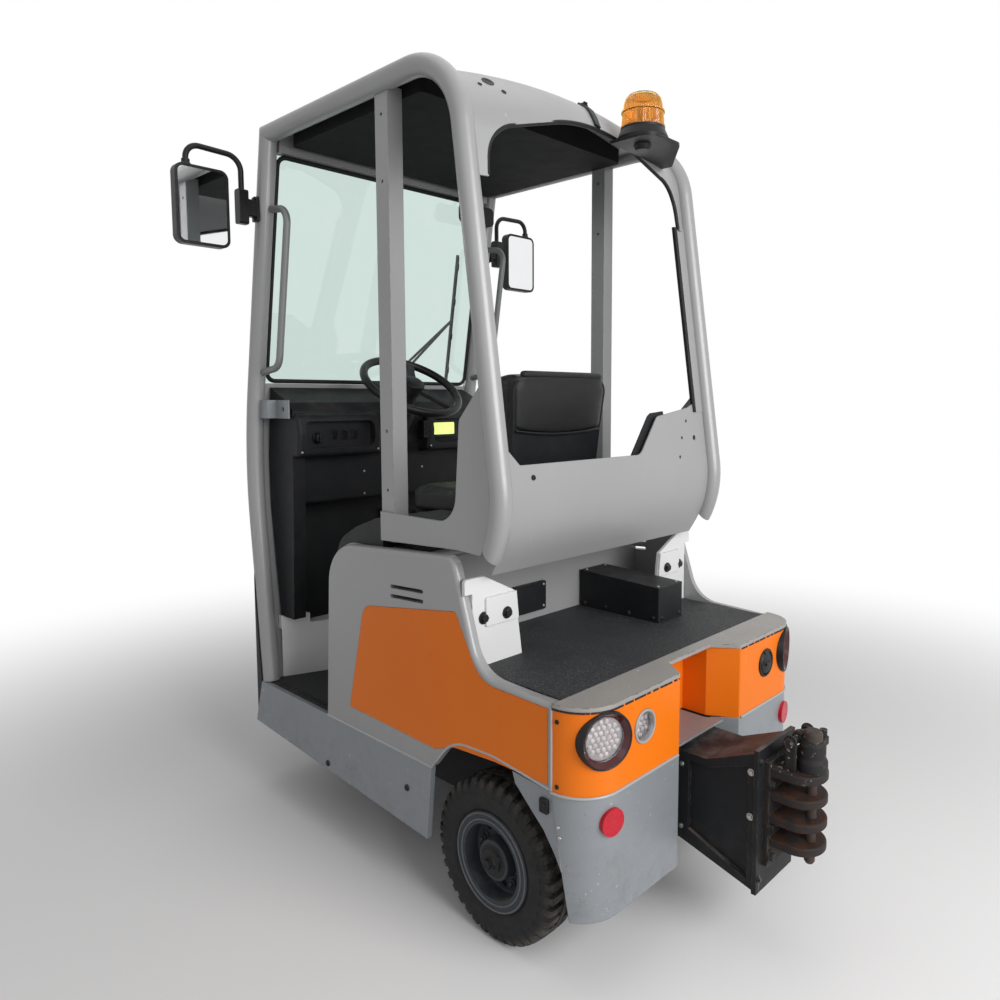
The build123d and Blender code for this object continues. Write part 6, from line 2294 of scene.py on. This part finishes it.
@dataclass
class Mirrors:
    """Bent arms of the outside mirrors, their clamps and the joints at their heads."""

    arm: Spots = (
        (0.545, 1.900, 0.0), (0.545, 2.084, 0.045), (0.713, 2.090, 0.040), (0.713, 2.022, 0.0),
    )
    arm_r: float = 0.0085
    socket_z: float = 1.935
    socket: Spot = (0.034, 0.105, 0.030)
    foot_y: float = 0.492
    foot_share: Row = (0.8, 0.5)
    foot_in: float = 0.002
    plate_share: Row = (1.1, 0.72)
    plate_t: float = 0.008
    plate_z: float = 0.004
    plate_bolt: Spot = (0.0055, 0.3, 0.011)
    joint_r: float = 0.012
    joint_rise: float = 0.005
    joint_shares: Rows = (
        (0, 0), (1.5, 0), (1.4, 0.004), (1, 0.010), (1, 0.018), (0.8, 0.021), (0, 0.021),
    )

    def build(self) -> None:
        """Builds arm, clamp and joint on both sides."""
        arm_low, arm_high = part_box("mirror_arms")
        x = (arm_low.x + arm_high.x) / 2
        joint_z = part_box("mirror_glasses")[1].z + self.joint_rise
        arms = Shape()
        for side, word in SIDES:
            line = [Vector((x, side * y, z)) for y, z in filleted(self.arm)]
            arms.tube(line, self.arm_r, sides=16)
            self.clamp(x, side).done(f"mirror_clamp_{word}", FINE_BLACK, bevel=0.0015)
            root = Matrix.Translation((x, side * self.arm[-1][0], joint_z))
            joint = Shape().lathe(scaled(self.joint_shares, self.joint_r), root, steps=24)
            joint.done(f"mirror_joint_{word}", FINE_BLACK)
        arms.done("mirror_bent_arms", FINE_BLACK, replaces=["mirror_arms"])

    def clamp(self, x: float, side: int) -> Shape:
        """Socket that holds the arm, and its bracket to the pillar.

        Args:
            x: Distance ahead.
            side: 1 for left, -1 for right.

        Returns:
            The mesh.
        """
        width, height, depth = self.socket
        near = self.arm[0][0] - depth / 2
        out = (0, side, 0)
        stand = facing(Vector((x, side * near, self.socket_z)), out)
        foot = facing(Vector((x, side * self.foot_y, self.socket_z)), out)
        shape = Shape().slab(width, height, depth, stand, r=0.008)
        across, up = self.foot_share
        reach = near - self.foot_y + self.foot_in
        shape.slab(across * width, up * height, reach, foot, r=0.005)
        across, up = self.plate_share
        plate = raised(foot, self.plate_z)
        shape.slab(across * width, up * height, self.plate_t, plate, r=0.005)
        bolt_r, bolt_up, bolt_z = self.plate_bolt
        for end in (-1, 1):
            shape.bolt(foot @ Matrix.Translation((0, bolt_up * end * height, bolt_z)), bolt_r)
        return shape


@dataclass(frozen=True)
class SoftLamp:
    """A round soft lamp of the studio; its power is a share of the key's."""

    name: str
    spot: Spot
    ahead: Spot
    size: float
    share: float


@dataclass
class Studio:
    """Camera, floor and light."""

    camera_at: Spot = (-1.3311, 1.7150, 1.3425)
    yaw_deg: float = -47.08
    pitch_deg: float = -5.17
    lens_mm: float = 27.9
    sensor_mm: float = 36.0
    shift: Row = (-0.0436, -0.0312)
    floor_size: float = 60.0
    floor_colour: Colour = (0.90, 0.90, 0.90)
    floor_roughness: float = 0.9
    floor_fade: Row = (1.4, 4.0)
    white: Colour = (1, 1, 1)
    ambient: float = 0.30
    key: float = 165.0
    lamp_up: Spot = (0, 1, 0.01)
    lamps: Tuple[SoftLamp, ...] = (
        SoftLamp("overhead", (0.2, 0.0, 4.6), DOWN, 3.6, 0.12),
        SoftLamp("rear_side", (-4.2, 0.3, 2.4), (0.95, -0.07, -0.30), 3.2, 1.0),
        SoftLamp("camera_side", (-2.6, 3.4, 3.0), (0.55, -0.70, -0.46), 2.4, 0.06),
    )

    def build(self) -> None:
        """Sets up the whole studio."""
        scene = bpy.context.scene
        scene.view_settings.view_transform = "Standard"
        self.camera(scene)
        self.world(scene)
        self.floor(scene)
        self.lights(scene)

    def camera(self, scene: bpy.types.Scene) -> None:
        """Sets the camera at the viewing angle.

        Args:
            scene: The scene.
        """
        yaw, pitch = math.radians(self.yaw_deg), math.radians(self.pitch_deg)
        level = math.cos(pitch)
        ahead = Vector((math.cos(yaw) * level, math.sin(yaw) * level, math.sin(pitch)))
        data = bpy.data.cameras.new("camera")
        data.lens = self.lens_mm
        data.sensor_width = self.sensor_mm
        data.shift_x, data.shift_y = self.shift
        camera = bpy.data.objects.new("camera", data)
        camera.matrix_world = facing(place(*self.camera_at), -ahead)
        scene.collection.objects.link(camera)
        scene.camera = camera

    def glow(self, graph: Graph) -> Val:
        """Strength of the backdrop: white where it is seen, and softer as light on the part."""
        return self.ambient + graph.shown() * (1.0 - self.ambient)

    def world(self, scene: bpy.types.Scene) -> None:
        """Even soft light from all round, white where it is seen.

        Args:
            scene: The scene.
        """
        world = bpy.data.worlds.new("studio")
        graph = Graph(world, "ShaderNodeBackground", "ShaderNodeOutputWorld")
        scene.world = graph.finish(Color=self.white, Strength=self.glow(graph))

    def floor(self, scene: bpy.types.Scene) -> None:
        """Pale floor that fades to white away from the part.

        Args:
            scene: The scene.
        """
        half = self.floor_size / 2
        corners = [(-half, -half, 0), (half, -half, 0), (half, half, 0), (-half, half, 0)]
        data = bpy.data.meshes.new("floor")
        data.from_pydata(corners, [], [(0, 1, 2, 3)])
        floor = bpy.data.objects.new("floor", data)
        scene.collection.objects.link(floor)
        graph = Graph(bpy.data.materials.new("floor"))
        reach = graph.vector("LENGTH", graph.spot, (0, 0, 0), "Value")
        glow = {"Color": self.white, "Strength": self.glow(graph)}
        white = graph.node("ShaderNodeEmission", {}, glow).outputs[0]
        graph.finish(Base_Color=self.floor_colour, Roughness=self.floor_roughness)
        parts = {0: reach.rise(*self.floor_fade), 1: graph.shader.outputs[0], 2: white}
        blend = graph.node("ShaderNodeMixShader", {}, parts)
        graph.feed(graph.output.inputs["Surface"], blend.outputs[0])
        data.materials.append(graph.owner)

    def lights(self, scene: bpy.types.Scene) -> None:
        """Large soft lamps above, behind the tail and beside the camera.

        Args:
            scene: The scene.
        """
        for row in self.lamps:
            data = bpy.data.lights.new(row.name, "AREA")
            data.energy = row.share * self.key
            data.shape = "DISK"
            data.size = row.size
            lamp = bpy.data.objects.new(row.name, data)
            lamp.matrix_world = facing(Vector(row.spot), -Vector(row.ahead), self.lamp_up)
            scene.collection.objects.link(lamp)


def main() -> None:
    """Builds and dresses the sub-assemblies in order."""
    logging.basicConfig(level=logging.INFO, format="%(name)s: %(message)s")
    Studio().build()
    Paintwork().dress()
    Wheel("rear_left", "rear_tyre_left", Body.REAR_LEFT, 1).build()
    Wheel("rear_right", "rear_tyre_right", Body.REAR_RIGHT, -1).build()
    Wheel("front", "front_tyre", Body.FRONT_WHEEL, 1, hubbed=False).build()
    Lamps().build()
    Beacon().build()
    Seat().build()
    BodyTrim().build()
    Fasteners().build()
    RoofTrim().build()
    PostTrim().build()
    TowHead().build()
    Glazing().build()
    DriverPlace().build()
    Mirrors().build()


if __name__ == "__main__":
    main()
